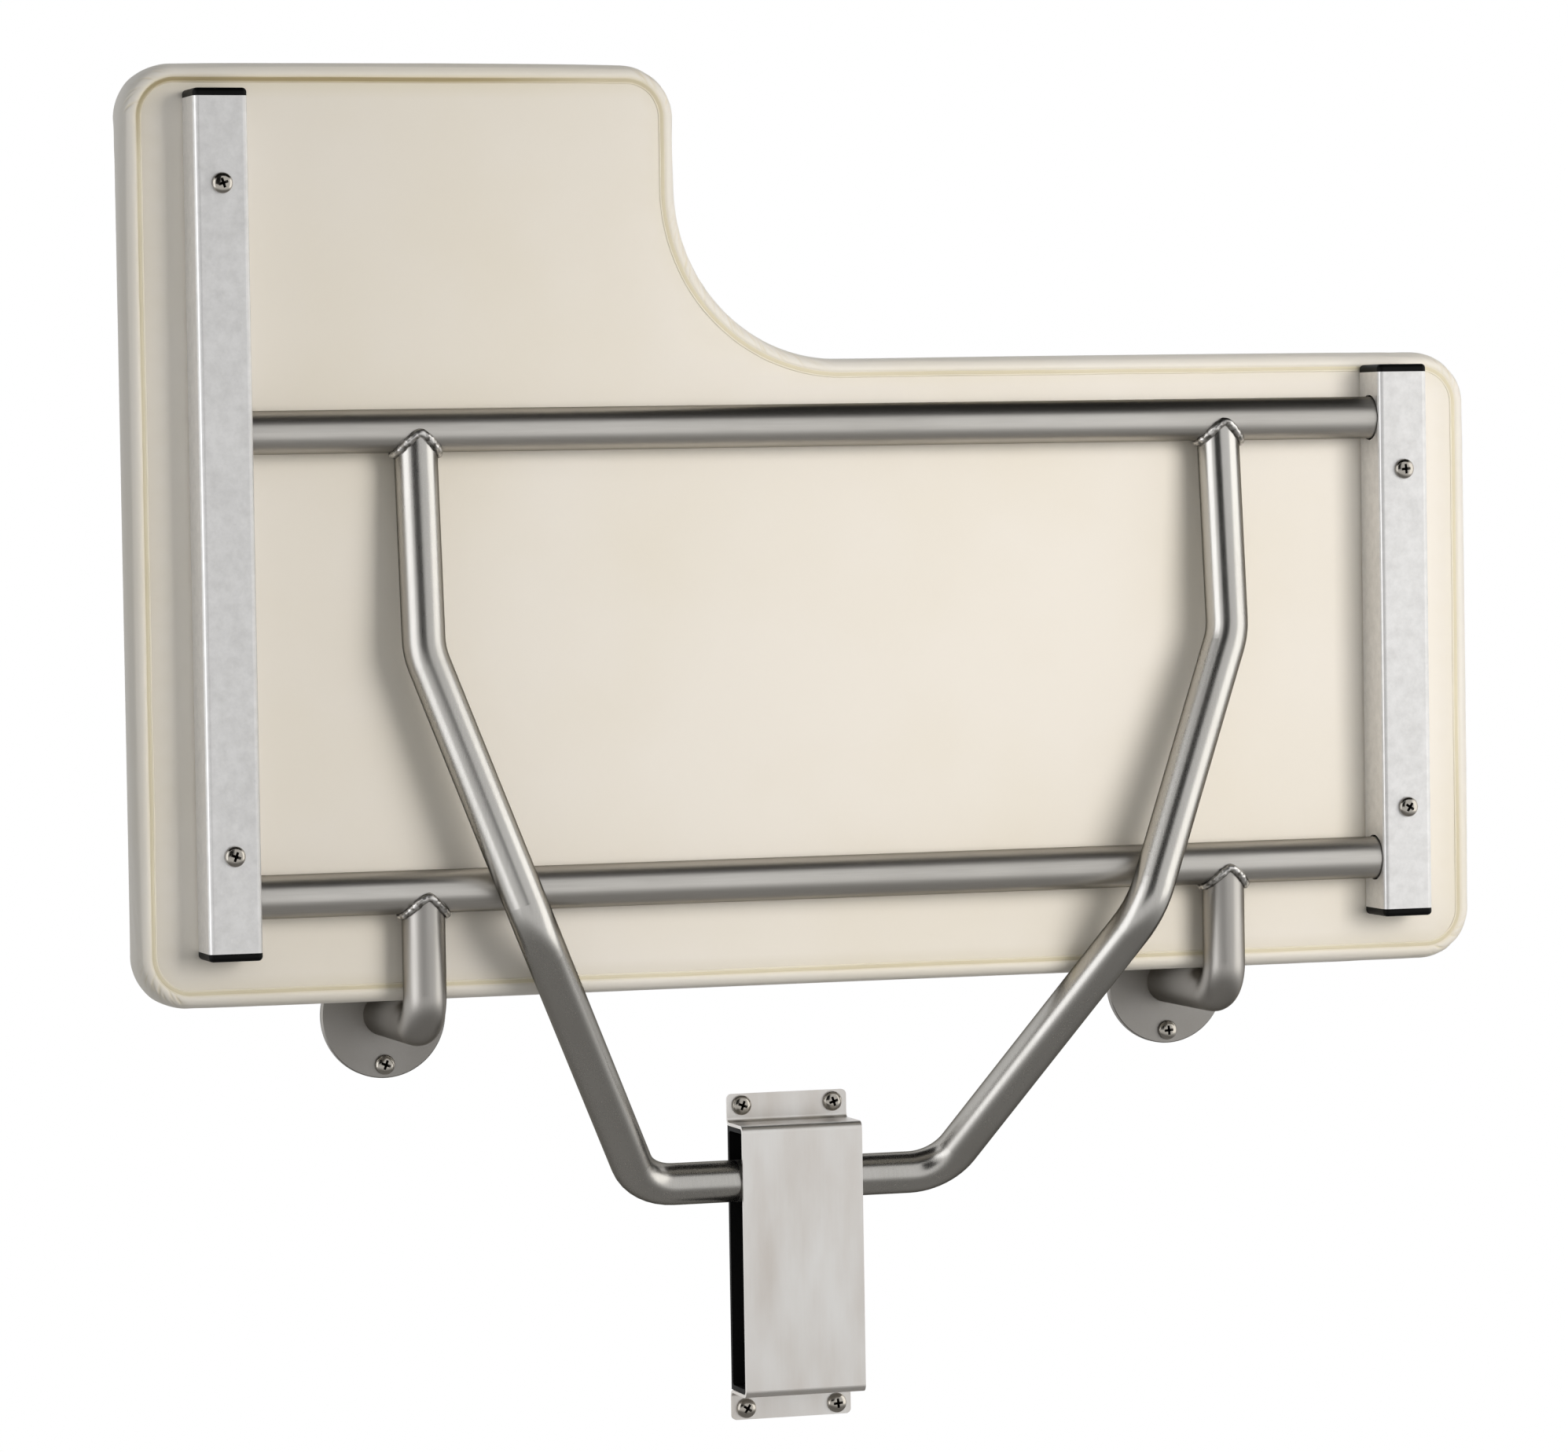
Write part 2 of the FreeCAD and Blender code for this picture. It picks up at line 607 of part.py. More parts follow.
def guide_bracket():
    """Make the sheet metal bracket that guides the bar, open at its left and right."""
    body = new_body("guide_bracket")
    section = new_sketch(body, "bracket_section", "YZ_Plane")
    inside = "Dims.bracket_bend"
    outside = "Dims.bracket_bend + Dims.bracket_sheet"
    radii = [None, outside, inside, inside, outside, None, None, inside, outside]
    radii += [outside, inside, None]
    add_outline(section, hat_edges(), radii)
    pad(body, section, "Dims.bracket_width", both_ways=True)
    ends = (
        size(f"{HAT_TOP} + Dims.bracket_flange"),
        size(f"{HAT_BOTTOM} - Dims.bracket_flange"),
    )
    half_width = size("Dims.bracket_width / 2")

    def is_flange_corner(edge):
        middle = edge.CenterOfMass
        at_end = min(abs(middle.z - end) for end in ends) < 1e-4
        return at_end and abs(abs(middle.x) - half_width) < 1e-4

    round_edges(body, "bracket_corners", "Dims.bracket_corner", is_flange_corner)
    holes = new_sketch(body, "bracket_holes", "XZ_Plane")
    for x, z in bracket_screw_places():
        add_circle(holes, x, z, SHANK_HOLE)
    pocket(body, holes)
    place(body, x="Dims.bracket_offset")
    return keep(body, "guide_bracket")


def bracket_screw_places():
    """Give the bracket's four screw places, from its own centre line."""
    half = "Dims.bracket_screw_spread / 2"
    upper = f"{HAT_TOP} + Dims.bracket_flange - Dims.bracket_screw_edge"
    lower = f"{HAT_BOTTOM} - Dims.bracket_flange + Dims.bracket_screw_edge"
    return [(f"{sign}{half}", z) for z in (upper, lower) for sign in ("-", "")]


def guide_liner():
    """Make the black liner behind, above and below the sliding bar."""
    body = new_body("guide_liner")
    section = new_sketch(body, "liner_section", "YZ_Plane")
    top = f"{HAT_TOP} - Dims.bracket_sheet"
    bottom = f"{HAT_BOTTOM} + Dims.bracket_sheet"
    face = "Dims.bracket_sheet - Dims.bracket_depth"
    edges = [
        ("level", bottom),
        ("upright", "0"),
        ("level", top),
        ("upright", face),
        ("level", f"{top} - Dims.liner_thickness"),
        ("upright", "-Dims.liner_thickness"),
        ("level", f"{bottom} + Dims.liner_thickness"),
        ("upright", face),
    ]
    bend = "Dims.bracket_bend"
    add_outline(section, edges, [None, None, bend, None, bend, bend, None, bend])
    pad(body, section, "Dims.bracket_width - 2 * Dims.liner_side_gap", both_ways=True)
    place(body, x="Dims.bracket_offset")
    return keep(body, "guide_liner")


def pad_edges(inset):
    """Give the L-shaped outline of the pad, moved inwards by an inset."""
    return [
        ("level", f"{PAD_LOW_Z} + {inset}"),
        ("upright", f"{PAD_RIGHT_X} - {inset}"),
        ("level", f"{PAD_SHORT_Z} - {inset}"),
        ("upright", f"{PAD_STEP_X} - {inset}"),
        ("level", f"{PAD_TALL_Z} - {inset}"),
        ("upright", f"{PAD_LEFT_X} + {inset}"),
    ]


def pad_wire(inset, depth):
    """Give the pad's outline as a wire, at an inset and a depth behind its underside."""
    corners = corner_points(pad_edges(str(inset)))
    outer = max(size("Dims.pad_corner") - inset, size("Dims.pad_least_corner"))
    inner = size("Dims.pad_inner_corner") + inset / 2
    radii = [outer, outer, inner, outer, outer, outer]
    y = size(PAD_FRONT_Y) + depth
    points = []
    for index, (corner, radius) in enumerate(zip(corners, radii)):
        before = corners[index - 1]
        after = corners[(index + 1) % len(corners)]
        start, end, centre, _ = corner_arc(before, corner, after, radius)
        middle = centre + (corner - centre).normalize() * radius
        points.append([FreeCAD.Vector(p.x, y, p.y) for p in (start, middle, end)])
    edges = []
    for index, (start, middle, end) in enumerate(points):
        edges.append(Part.LineSegment(points[index - 1][2], start).toShape())
        edges.append(Part.Arc(start, middle, end).toShape())
    return Part.Wire(edges)


def seat_pad():
    """Make the foam pad: sides drawn in at both faces, a low crown and the board's bed."""
    side = size("Dims.pad_side")
    crown = size("Dims.pad_crown")
    tuck = size("Dims.pad_tuck")
    shoulder = size("Dims.pad_shoulder")
    levels = [(tuck, 0.0)]
    for step in range(1, 5):
        turn = step / 4 * math.pi / 2
        levels.append((tuck * (1 - math.sin(turn)), side / 2 * (1 - math.cos(turn))))
    for step in range(1, 5):
        turn = step / 4 * math.pi / 2
        levels.append((shoulder * (1 - math.cos(turn)), side / 2 * (1 + math.sin(turn))))
    crown_reach = size("Dims.pad_crown_reach")
    for step in range(1, 6):
        share = step / 5
        levels.append((shoulder + crown_reach * share, side + crown * (1 - (1 - share) ** 2)))
    wires = [pad_wire(inset, depth) for inset, depth in levels]
    solid = Part.makeLoft(wires, True, True)
    bed = size("Dims.cover_thickness + Dims.board_thickness")
    inset = size("Dims.board_inset - Dims.board_gap")
    bed_face = Part.Face(pad_wire(inset, 0.0))
    cut = bed_face.extrude(INTO_WALL * bed)
    piece = doc.addObject("Part::Feature", "seat_pad")
    piece.Shape = solid.cut(cut)
    return keep(piece, "seat_pad")


def board_layer(label, front, thickness, hole):
    """Make a flat L-shaped layer in the pad, with a hole at each rail screw."""
    body = new_body(label)
    outline = new_sketch(body, f"{label}_outline", "XZ_Plane")
    corner = "Dims.pad_corner - Dims.board_inset"
    inner = "Dims.pad_inner_corner + Dims.board_inset / 2"
    radii = [corner, corner, inner, corner, corner, corner]
    add_outline(outline, pad_edges("Dims.board_inset"), radii)
    pad(body, outline, thickness, backwards=True)
    holes = new_sketch(body, f"{label}_holes", "XZ_Plane")
    for x, z in rail_screw_places():
        add_circle(holes, x, z, hole)
    pocket(body, holes)
    place(body, y=front)
    return keep(body, label)


def rail_screw_places():
    """Give the four places where screws hold the rails to the board."""
    places = []
    for side, sign in SIDE_SIGN.items():
        for along in RAIL_SCREWS[side]:
            places.append((f"{sign} * {RAIL_X}", f"{RAIL_Z} + {along}"))
    return places


def pan_screw(length, neck_length):
    """Make one screw along Y: a domed head before y = 0, a neck and a pointed thread."""
    head = size("Dims.screw_head") / 2
    rise = size("Dims.screw_head_height")
    shank = size("Dims.screw_shank") / 2
    neck = size("Dims.screw_neck") / 2
    rim = rise / 3
    outline = [
        Part.LineSegment(FreeCAD.Vector(0, -rise, 0), FreeCAD.Vector(head / 3, -rise, 0)),
        Part.Arc(
            FreeCAD.Vector(head / 3, -rise, 0),
            FreeCAD.Vector(head * size("Dims.dome_across"), -rise * size("Dims.dome_up"), 0),
            FreeCAD.Vector(head, -rim, 0),
        ),
    ]
    corners = [
        FreeCAD.Vector(head, -rim, 0),
        FreeCAD.Vector(head, 0, 0),
        FreeCAD.Vector(neck, 0, 0),
        FreeCAD.Vector(neck, neck_length, 0),
        FreeCAD.Vector(shank, neck_length, 0),
        FreeCAD.Vector(shank, length - 2 * shank, 0),
        FreeCAD.Vector(0, length, 0),
        FreeCAD.Vector(0, -rise, 0),
    ]
    outline += [Part.LineSegment(a, b) for a, b in zip(corners, corners[1:])]
    wire = Part.Wire([line.toShape() for line in outline])
    solid = Part.Face(wire).revolve(FreeCAD.Vector(), INTO_WALL, 360)
    tip = size("Dims.recess_width")
    slot = size("Dims.recess_slot")
    depth = size("Dims.recess_depth")
    for long, tall in ((tip, slot), (slot, tip)):
        corner = FreeCAD.Vector(-long / 2, -rise - 1, -tall / 2)
        solid = solid.cut(Part.makeBox(long, depth + 1, tall, corner))
    return solid


def screw_group(label, length, neck_length, places):
    """Make one node of equal screws, with their heads' undersides at the places."""
    screw = pan_screw(size(length), size(neck_length))
    copies = []
    for number, spot in enumerate(places):
        copy = screw.copy()
        copy.rotate(FreeCAD.Vector(), INTO_WALL, size("Dims.screw_turn") * (number + 0.5))
        copy.translate(spot)
        copies.append(copy)
    group = doc.addObject("Part::Feature", label)
    group.Shape = Part.Compound(copies)
    return keep(group, label)


def flange_screw_spots():
    """Give the places of the six screws in the two wall flanges."""
    spots = []
    radius = size("Dims.flange_bolt_circle / 2")
    for sign in (-1, 1):
        x = sign * size("Dims.arm_spacing / 2")
        for angle in (-90, 30, 150):
            turn = math.radians(angle)
            shift = FreeCAD.Vector(radius * math.cos(turn), 0, radius * math.sin(turn))
            spots.append(FreeCAD.Vector(x, -size("Dims.flange_thickness"), 0) + shift)
    return spots


def board_inserts():
    """Make the threaded inserts in the board, one for each rail screw."""
    outer = size("Dims.insert_diameter") / 2
    inner = size("Dims.screw_shank / 2 + Dims.running_gap")
    length = size("Dims.insert_length")
    sleeves = []
    for x, z in rail_screw_places():
        start = vector(x, BOARD_FRONT_Y, z)
        sleeve = Part.makeCylinder(outer, length, start, INTO_WALL)
        sleeves.append(sleeve.cut(Part.makeCylinder(inner, length, start, INTO_WALL)))
    group = doc.addObject("Part::Feature", "board_inserts")
    group.Shape = Part.Compound(sleeves)
    return keep(group, "board_inserts")


def build():
    """Build every piece of the seat."""
    for side in SIDE_SIGN:
        wall_flange(side)
        wall_arm(side)
        x = f"{SIDE_SIGN[side]} * Dims.arm_spacing / 2"
        weld_bead(f"{side}_arm_weld", x, "Dims.pivot_height", 0)
    rear = straight_tube("rear_pivot_tube", PIVOT_TUBE_LENGTH)
    place(rear, "0", "-Dims.wall_standoff", "Dims.pivot_height")
    guide_bracket()
    guide_liner()
    bar = straight_tube(
        "guide_bar",
        "Dims.bracket_width + 2 * Dims.bar_side_gap - 2 * Dims.bar_joint_gap",
    )
    place(bar, "Dims.bracket_offset", f"-{BAR_DEPTH}", BAR_Z)
    front = straight_tube("front_pivot_tube", PIVOT_TUBE_LENGTH)
    place(front, "0", "-Dims.wall_standoff", FRONT_AXIS_Z)
    for side in SIDE_SIGN:
        leg_tube(side)
        x = f"{SIDE_SIGN[side]} * Dims.leg_spacing / 2"
        weld_bead(f"{side}_leg_weld", x, FRONT_AXIS_Z, -math.degrees(leg_tilt()))
        rail(side)
        rail_cap(side, "upper")
        rail_cap(side, "lower")
        pivot_block(side, "front")
        pivot_block(side, "rear")
    seat_pad()
    insert_hole = "Dims.insert_diameter + 2 * Dims.running_gap"
    board_layer("seat_board", BOARD_FRONT_Y, "Dims.board_thickness", insert_hole)
    board_layer("underside_cover", PAD_FRONT_Y, "Dims.cover_thickness", SHANK_HOLE)
    board_inserts()
    wall_length = "Dims.wall_screw_length"
    screw_group("flange_screws", wall_length, "Dims.flange_thickness", flange_screw_spots())
    spots = [
        vector(f"Dims.bracket_offset + {x}", "-Dims.bracket_sheet", z)
        for x, z in bracket_screw_places()
    ]
    screw_group("bracket_screws", wall_length, "Dims.bracket_sheet", spots)
    rail_front = "-Dims.wall_standoff - Dims.rail_side / 2"
    spots = [vector(x, rail_front, z) for x, z in rail_screw_places()]
    screw_group("rail_screws", "Dims.rail_screw_length", "Dims.rail_side", spots)
    doc.recompute()


def check():
    """Stop if an object failed or a piece is empty, broken or not one solid."""
    for item in doc.Objects:
        if "Invalid" in item.State or "Error" in item.State:
            raise RuntimeError(f"{item.Label} failed: {item.State}")
    for piece in nodes:
        shape = piece.Shape
        if shape.isNull() or not shape.isValid() or not shape.Solids:
            raise RuntimeError(f"{piece.Label} has no valid solid")
        print(f"{piece.Label}: {len(shape.Solids)} solids, {shape.Volume:.0f} mm3")


def write():
    """Write each piece to a STEP file named after it."""
    os.makedirs("parts", exist_ok=True)
    for piece in nodes:
        piece.Shape.exportStep(f"parts/{piece.Label}.step")


fill_sheet()
build()
check()
write()
print(f"bar folded {size(BAR_Z):.3f}, bar down {size(BAR_LOW_Z):.3f}, leg {size(LEG_LENGTH):.3f}")
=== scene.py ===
import logging
import math
import random
from dataclasses import dataclass, field
from enum import Enum

import bmesh
import bpy
import numpy as np
from mathutils import Matrix, Vector
from mathutils.geometry import delaunay_2d_cdt


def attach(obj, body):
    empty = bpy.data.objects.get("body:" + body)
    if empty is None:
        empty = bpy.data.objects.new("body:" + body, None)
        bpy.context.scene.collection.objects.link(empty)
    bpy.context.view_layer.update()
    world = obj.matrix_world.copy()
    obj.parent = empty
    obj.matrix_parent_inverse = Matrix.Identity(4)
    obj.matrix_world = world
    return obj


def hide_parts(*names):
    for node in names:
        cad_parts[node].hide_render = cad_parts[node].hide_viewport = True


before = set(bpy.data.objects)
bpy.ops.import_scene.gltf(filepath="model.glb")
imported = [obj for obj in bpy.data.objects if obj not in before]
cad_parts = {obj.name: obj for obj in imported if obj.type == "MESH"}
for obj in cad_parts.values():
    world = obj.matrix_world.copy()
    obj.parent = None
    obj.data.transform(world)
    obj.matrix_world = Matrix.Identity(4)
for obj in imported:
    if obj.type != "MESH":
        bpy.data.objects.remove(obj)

# Fold down wall seat, folded up against the wall: a padded L-shaped seat on two square rails,
# two round cross tubes, a bent support leg, and the wall bracket that guides it.
# X runs to the right, Y into the wall and Z up, in metres.

LOG = logging.getLogger("fold_down_wall_seat")
MM = 0.001
# The legs, the wall arms and the flanges lie this far to each side of the middle.
LEG_X = 0.25
WHITE = (1.0, 1.0, 1.0, 1.0)

Material = bpy.types.Material
Mesh = bpy.types.Mesh
Node = bpy.types.Node
Piece = bpy.types.Object
Socket = bpy.types.NodeSocket
Tree = bpy.types.NodeTree


class Body(Enum):
    """The groups of pieces that move together and get new pieces here."""

    WALL = "wall_frame"
    SEAT = "seat"
    LEG = "support_leg"


class Grain(Enum):
    """The way in which a metal surface was brushed: how close its marks are along X, Y and Z."""

    ALONG_X = (0.03, 1.0, 1.0)
    ALONG_Z = (1.0, 1.0, 0.03)
    ROUND = (1.0, 1.0, 1.0)


def linear(colour: str) -> tuple[float, float, float, float]:
    """Turn an sRGB hex colour into linear values.

    Args:
        colour: six hex digits after a hash.

    Returns:
        Red, green, blue and an alpha of one.
    """
    parts = [int(colour[i:i + 2], 16) / 255 for i in (1, 3, 5)]
    values = [p / 12.92 if p <= 0.04045 else ((p + 0.055) / 1.055) ** 2.4 for p in parts]
    return (*values, 1.0)


def add_node(tree: Tree, kind: str, inputs: dict | None = None, **settings: object) -> Node:
    """Add one node with its settings and its links.

    Args:
        tree: the node tree.
        kind: the node's type.
        inputs: socket name or number to a value, to the output socket that feeds it, or to the
            node whose first output does.
        settings: the node's own properties.

    Returns:
        The new node.
    """
    node = tree.nodes.new(kind)
    for name, value in settings.items():
        setattr(node, name, value)
    for key, value in (inputs or {}).items():
        source = value.outputs[0] if isinstance(value, Node) else value
        if isinstance(source, Socket):
            tree.links.new(source, node.inputs[key])
        else:
            node.inputs[key].default_value = source
    return node


def new_material(name: str) -> tuple[Material, Tree]:
    """Start an empty node material.

    Args:
        name: the material's name.

    Returns:
        The material and its node tree.
    """
    material = bpy.data.materials.new(name)
    material.use_nodes = True
    material.node_tree.nodes.clear()
    return material, material.node_tree


def two_tone(
    tree: Tree, pattern: Node, span: tuple[float, float], first: tuple, second: tuple,
    most: float = 1.0,
) -> Socket:
    """Turn from one colour to another over a stretch of a pattern.

    Args:
        tree: the node tree.
        pattern: what decides between the two.
        span: the pattern's values where the first colour ends and where the second is reached.
        first: the linear colour below the stretch.
        second: the linear colour above it.
        most: how much of the second colour shows at most.

    Returns:
        The colour.
    """
    share = add_node(tree, "ShaderNodeMapRange", {
        "Value": pattern, "From Min": span[0], "From Max": span[1], "To Max": most})
    # A Mix node takes its share at 0, two numbers at 2 and 3 or two colours at 6 and 7, and it
    # gives the mixed colour at 2.
    return add_node(
        tree, "ShaderNodeMix", {0: share, 6: first, 7: second}, data_type="RGBA").outputs[2]


@dataclass(frozen=True)
class Finish:
    """A finish: its name, its main colour and how its surface is put together."""

    name: str
    colour: str

    def surface(self, tree: Tree, given: bpy.types.NodeOutputs) -> tuple[dict, dict]:
        """Give the shader's inputs and the relief's; each kind of finish has its own."""
        raise NotImplementedError

    def make(self) -> Material:
        """Build the material.

        Returns:
            The material.
        """
        material, tree = new_material(self.name)
        given = add_node(tree, "ShaderNodeTexCoord").outputs
        looks, relief = self.surface(tree, given)
        looks["Normal"] = add_node(tree, "ShaderNodeBump", relief)
        shader = add_node(tree, "ShaderNodeBsdfPrincipled", looks)
        add_node(tree, "ShaderNodeOutputMaterial", {"Surface": shader})
        return material


@dataclass(frozen=True)
class SteelFinish(Finish):
    """Stainless steel or brass, brushed or cleaned to a satin.

    Fine scratches from the abrasive belt soften what it mirrors, handling leaves faint cloudy
    patches drawn out along the grain, and the long edges of the square rails are rubbed smooth.
    """

    roughness: float
    grain: Grain
    grit_mm: float = 0.9
    depth_mm: float = 0.004
    cloud_mm: float = 45.0
    cloud: float = 0.05
    tint: str = "#8f8b84"
    mottle: float = 0.3
    scratched: float = 0.3
    rim: str = "#ffffff"
    corner_roughness: float = 0.68
    edge_roughness: float | None = None
    # Whether the recess is painted near black as shade
    shaded_recess: bool = False

    def surface(self, tree: Tree, given: bpy.types.NodeOutputs) -> tuple[dict, dict]:
        """Lay the belt's scratches and the cloudy patches, and then the wear and the painted shade
        in a recess.

        Args:
            tree: the material's tree.
            given: the surface's coordinates.

        Returns:
            The inputs of the shader and those of the relief.
        """
        grain = self.grain.value
        drawn_out = [max(0.3, share) for share in grain]
        # The belt's scratches are far finer; they are drawn at about 1 mm so that they show.
        patterns = []
        for stretch, size_mm in ((grain, self.grit_mm), (drawn_out, self.cloud_mm)):
            place = add_node(
                tree, "ShaderNodeMapping", {"Vector": given["Object"], "Scale": stretch})
            patterns.append(add_node(tree, "ShaderNodeTexNoise", {
                "Vector": place, "Scale": 1 / (size_mm * MM), "Detail": 4.0}))
        scratches, clouds = patterns
        both = add_node(tree, "ShaderNodeMix", {0: self.scratched, 2: clouds, 3: scratches})
        colour = two_tone(
            tree, both, (0.35, 0.68), linear(self.colour), linear(self.tint), self.mottle)
        rough = add_node(tree, "ShaderNodeMapRange", {
            "Value": both, "From Min": 0.3, "From Max": 0.7,
            "To Min": self.roughness - self.cloud, "To Max": self.roughness + self.cloud})
        if self.edge_roughness is not None:
            rough = self.rubbed(tree, given["Normal"], rough)
        # The recess gets painted shade: near black and dull
        if self.shaded_recess:
            colour, rough = self.paint_recess_shade(tree, colour, rough)
        looks = {"Base Color": colour, "Metallic": 1.0, "Specular Tint": linear(self.rim),
                 "Roughness": rough}
        relief = {"Height": scratches, "Distance": self.depth_mm * MM, "Strength": 0.6}
        return looks, relief

    def rubbed(self, tree: Tree, normal: Socket, rough: Node) -> Node:
        """Make the rounded upright edges dull, with one line rubbed smooth along their middle.

        Args:
            tree: the material's tree.
            normal: which way the surface faces, in the object's own axes.
            rough: the roughness of the flat faces.

        Returns:
            The roughness with its rubbed edges.
        """
        ways = add_node(tree, "ShaderNodeSeparateXYZ", {0: normal}).outputs
        sides = [
            add_node(tree, "ShaderNodeMath", {0: ways[axis]}, operation="ABSOLUTE")
            for axis in ("X", "Y")
        ]
        least = add_node(
            tree, "ShaderNodeMath", {0: sides[0], 1: sides[1]}, operation="MINIMUM")
        stretches = ((0.08, 0.3, self.corner_roughness), (0.6, 0.7, self.edge_roughness))
        for start, end, value in stretches:
            share = add_node(
                tree, "ShaderNodeMapRange", {"Value": least, "From Min": start, "From Max": end})
            rough = add_node(tree, "ShaderNodeMix", {0: share, 2: rough, 3: value})
        return rough

    def paint_recess_shade(self, tree: Tree, colour: Socket, rough: Node) -> tuple[Socket, Node]:
        """Paint dark shade where the attribute named recess says so.

        Args:
            tree: the material's tree.
            colour: the colour without the painted shade.
            rough: the roughness without the painted shade.

        Returns:
            The colour and the roughness with the painted shade.
        """
        depth = add_node(tree, "ShaderNodeAttribute", attribute_name="recess").outputs["Fac"]
        dark = add_node(
            tree, "ShaderNodeMix", {0: depth, 6: colour, 7: linear("#15120f")}, data_type="RGBA")
        dull = add_node(tree, "ShaderNodeMix", {0: depth, 2: rough, 3: 0.7})
        return dark.outputs[2], dull


@dataclass(frozen=True)
class WeldFinish(Finish):
    """A hand-made weld bead in stainless steel: bright lumps, with painted black shade where it
    bites the tube.

    The attribute for the painted shade at the toe says how near the surface is to the bead's toe.
    """

    dull: str = "#77746f"
    # The near black painted shade in the crease at the bead's toe
    toe_shade: str = "#0e0c0b"
    ridge_mm: float = 3.2

    def surface(self, tree: Tree, given: bpy.types.NodeOutputs) -> tuple[dict, dict]:
        """Lay the bead's bright ridges, and the line of painted shade at its toe.

        Args:
            tree: the material's tree.
            given: the surface's coordinates.

        Returns:
            The inputs of the shader and those of the relief.
        """
        ridges = add_node(tree, "ShaderNodeTexNoise", {
            "Vector": given["Object"], "Scale": 1 / (self.ridge_mm * MM), "Detail": 3.0})
        metal = two_tone(tree, ridges, (0.36, 0.56), linear(self.dull), linear(self.colour))
        # How much painted shade each point gets at the toe
        toe = add_node(tree, "ShaderNodeAttribute", attribute_name="toe_shade").outputs["Fac"]
        colour = add_node(
            tree, "ShaderNodeMix", {0: toe, 6: metal, 7: linear(self.toe_shade)}, data_type="RGBA")
        looks = {"Base Color": colour.outputs[2], "Metallic": 1.0, "Roughness": 0.3}
        return looks, {"Height": ridges, "Distance": 0.5 * MM, "Strength": 0.7}


@dataclass(frozen=True)
class MouldedFinish(Finish):
    """Moulded plastic: an even colour with a fine spark-eroded grain and slight flow marks."""

    roughness: float
    shine: float = 0.5
    grain_mm: float = 0.5
    flow_mm: float = 16.7
    depth_mm: float = 0.015

    def surface(self, tree: Tree, given: bpy.types.NodeOutputs) -> tuple[dict, dict]:
        """Lay the mould's fine grain, and flow marks that are a little paler and duller.

        Args:
            tree: the material's tree.
            given: the surface's coordinates.

        Returns:
            The inputs of the shader and those of the relief.
        """
        place = given["Object"]
        # A mould's grain is 0.1 to 0.2 mm across; it is drawn at 0.5 mm so that it shows.
        grain = add_node(tree, "ShaderNodeTexVoronoi", {
            "Vector": place, "Scale": 1 / (self.grain_mm * MM)})
        flow = add_node(tree, "ShaderNodeTexNoise", {
            "Vector": place, "Scale": 1 / (self.flow_mm * MM), "Detail": 3.0})
        rough = add_node(tree, "ShaderNodeMapRange", {
            "Value": flow, "To Min": self.roughness - 0.06, "To Max": self.roughness + 0.08})
        plain = linear(self.colour)
        # A flow mark is half as bright again as the plastic, and never quite black.
        paler = tuple(min(1.0, part * 1.5 + 0.0005) for part in plain[:3]) + (1.0,)
        looks = {
            "Base Color": two_tone(tree, flow, (0.35, 0.75), plain, paler), "Roughness": rough,
            "IOR": 1.49, "Specular IOR Level": self.shine}
        return looks, {"Height": grain, "Distance": self.depth_mm * MM}


@dataclass(frozen=True)
class VinylFinish(Finish):
    """Upholstery vinyl: PVC on a knit backing, embossed with a fine leather grain.

    Its plasticiser gives it a soft sheen, and it yellows slightly along its edges and seams; the
    same darker colour is also painted on as shade along the seam at the pad's upper end and in the
    gathered creases.
    """

    # The colour of the yellowing, also painted on as shade at the upper end and in the creases
    aged_and_shaded: str
    grain_mm: float = 1.1
    depth_mm: float = 0.03
    patch_mm: float = 143.0
    roughness: float = 0.5

    def surface(self, tree: Tree, given: bpy.types.NodeOutputs) -> tuple[dict, dict]:
        """Lay the leather grain and the yellowed patches, most where the attribute seam says, which
        also holds painted shade at the upper end and in the creases.

        Args:
            tree: the material's tree.
            given: the surface's coordinates.

        Returns:
            The inputs of the shader and those of the relief.
        """
        place = given["Object"]
        # The vinyl's grain is about 0.6 mm across; it is drawn at over 1 mm so that it shows.
        pebbles = add_node(
            tree, "ShaderNodeTexVoronoi",
            {"Vector": place, "Scale": 1 / (self.grain_mm * MM)}, feature="DISTANCE_TO_EDGE")
        patches = add_node(tree, "ShaderNodeTexNoise", {
            "Vector": place, "Scale": 1 / (self.patch_mm * MM), "Detail": 3.0})
        edge = add_node(tree, "ShaderNodeAttribute", attribute_name="seam").outputs["Fac"]
        ageing = add_node(tree, "ShaderNodeMapRange", {
            "Value": patches, "From Min": 0.4, "From Max": 0.75, "To Max": 0.22})
        share = add_node(
            tree, "ShaderNodeMath", {0: ageing, 1: edge}, operation="ADD", use_clamp=True)
        colour = add_node(
            tree, "ShaderNodeMix", {0: share, 6: linear(self.colour), 7: linear(self.aged_and_shaded)},
            data_type="RGBA")
        rough = add_node(tree, "ShaderNodeMapRange", {
            "Value": patches, "To Min": self.roughness - 0.05, "To Max": self.roughness + 0.08})
        looks = {"Base Color": colour.outputs[2], "Roughness": rough, "IOR": 1.5,
                 "Sheen Weight": 0.08, "Sheen Roughness": 0.4}
        return looks, {"Height": pebbles, "Distance": self.depth_mm * MM, "Strength": 0.35}


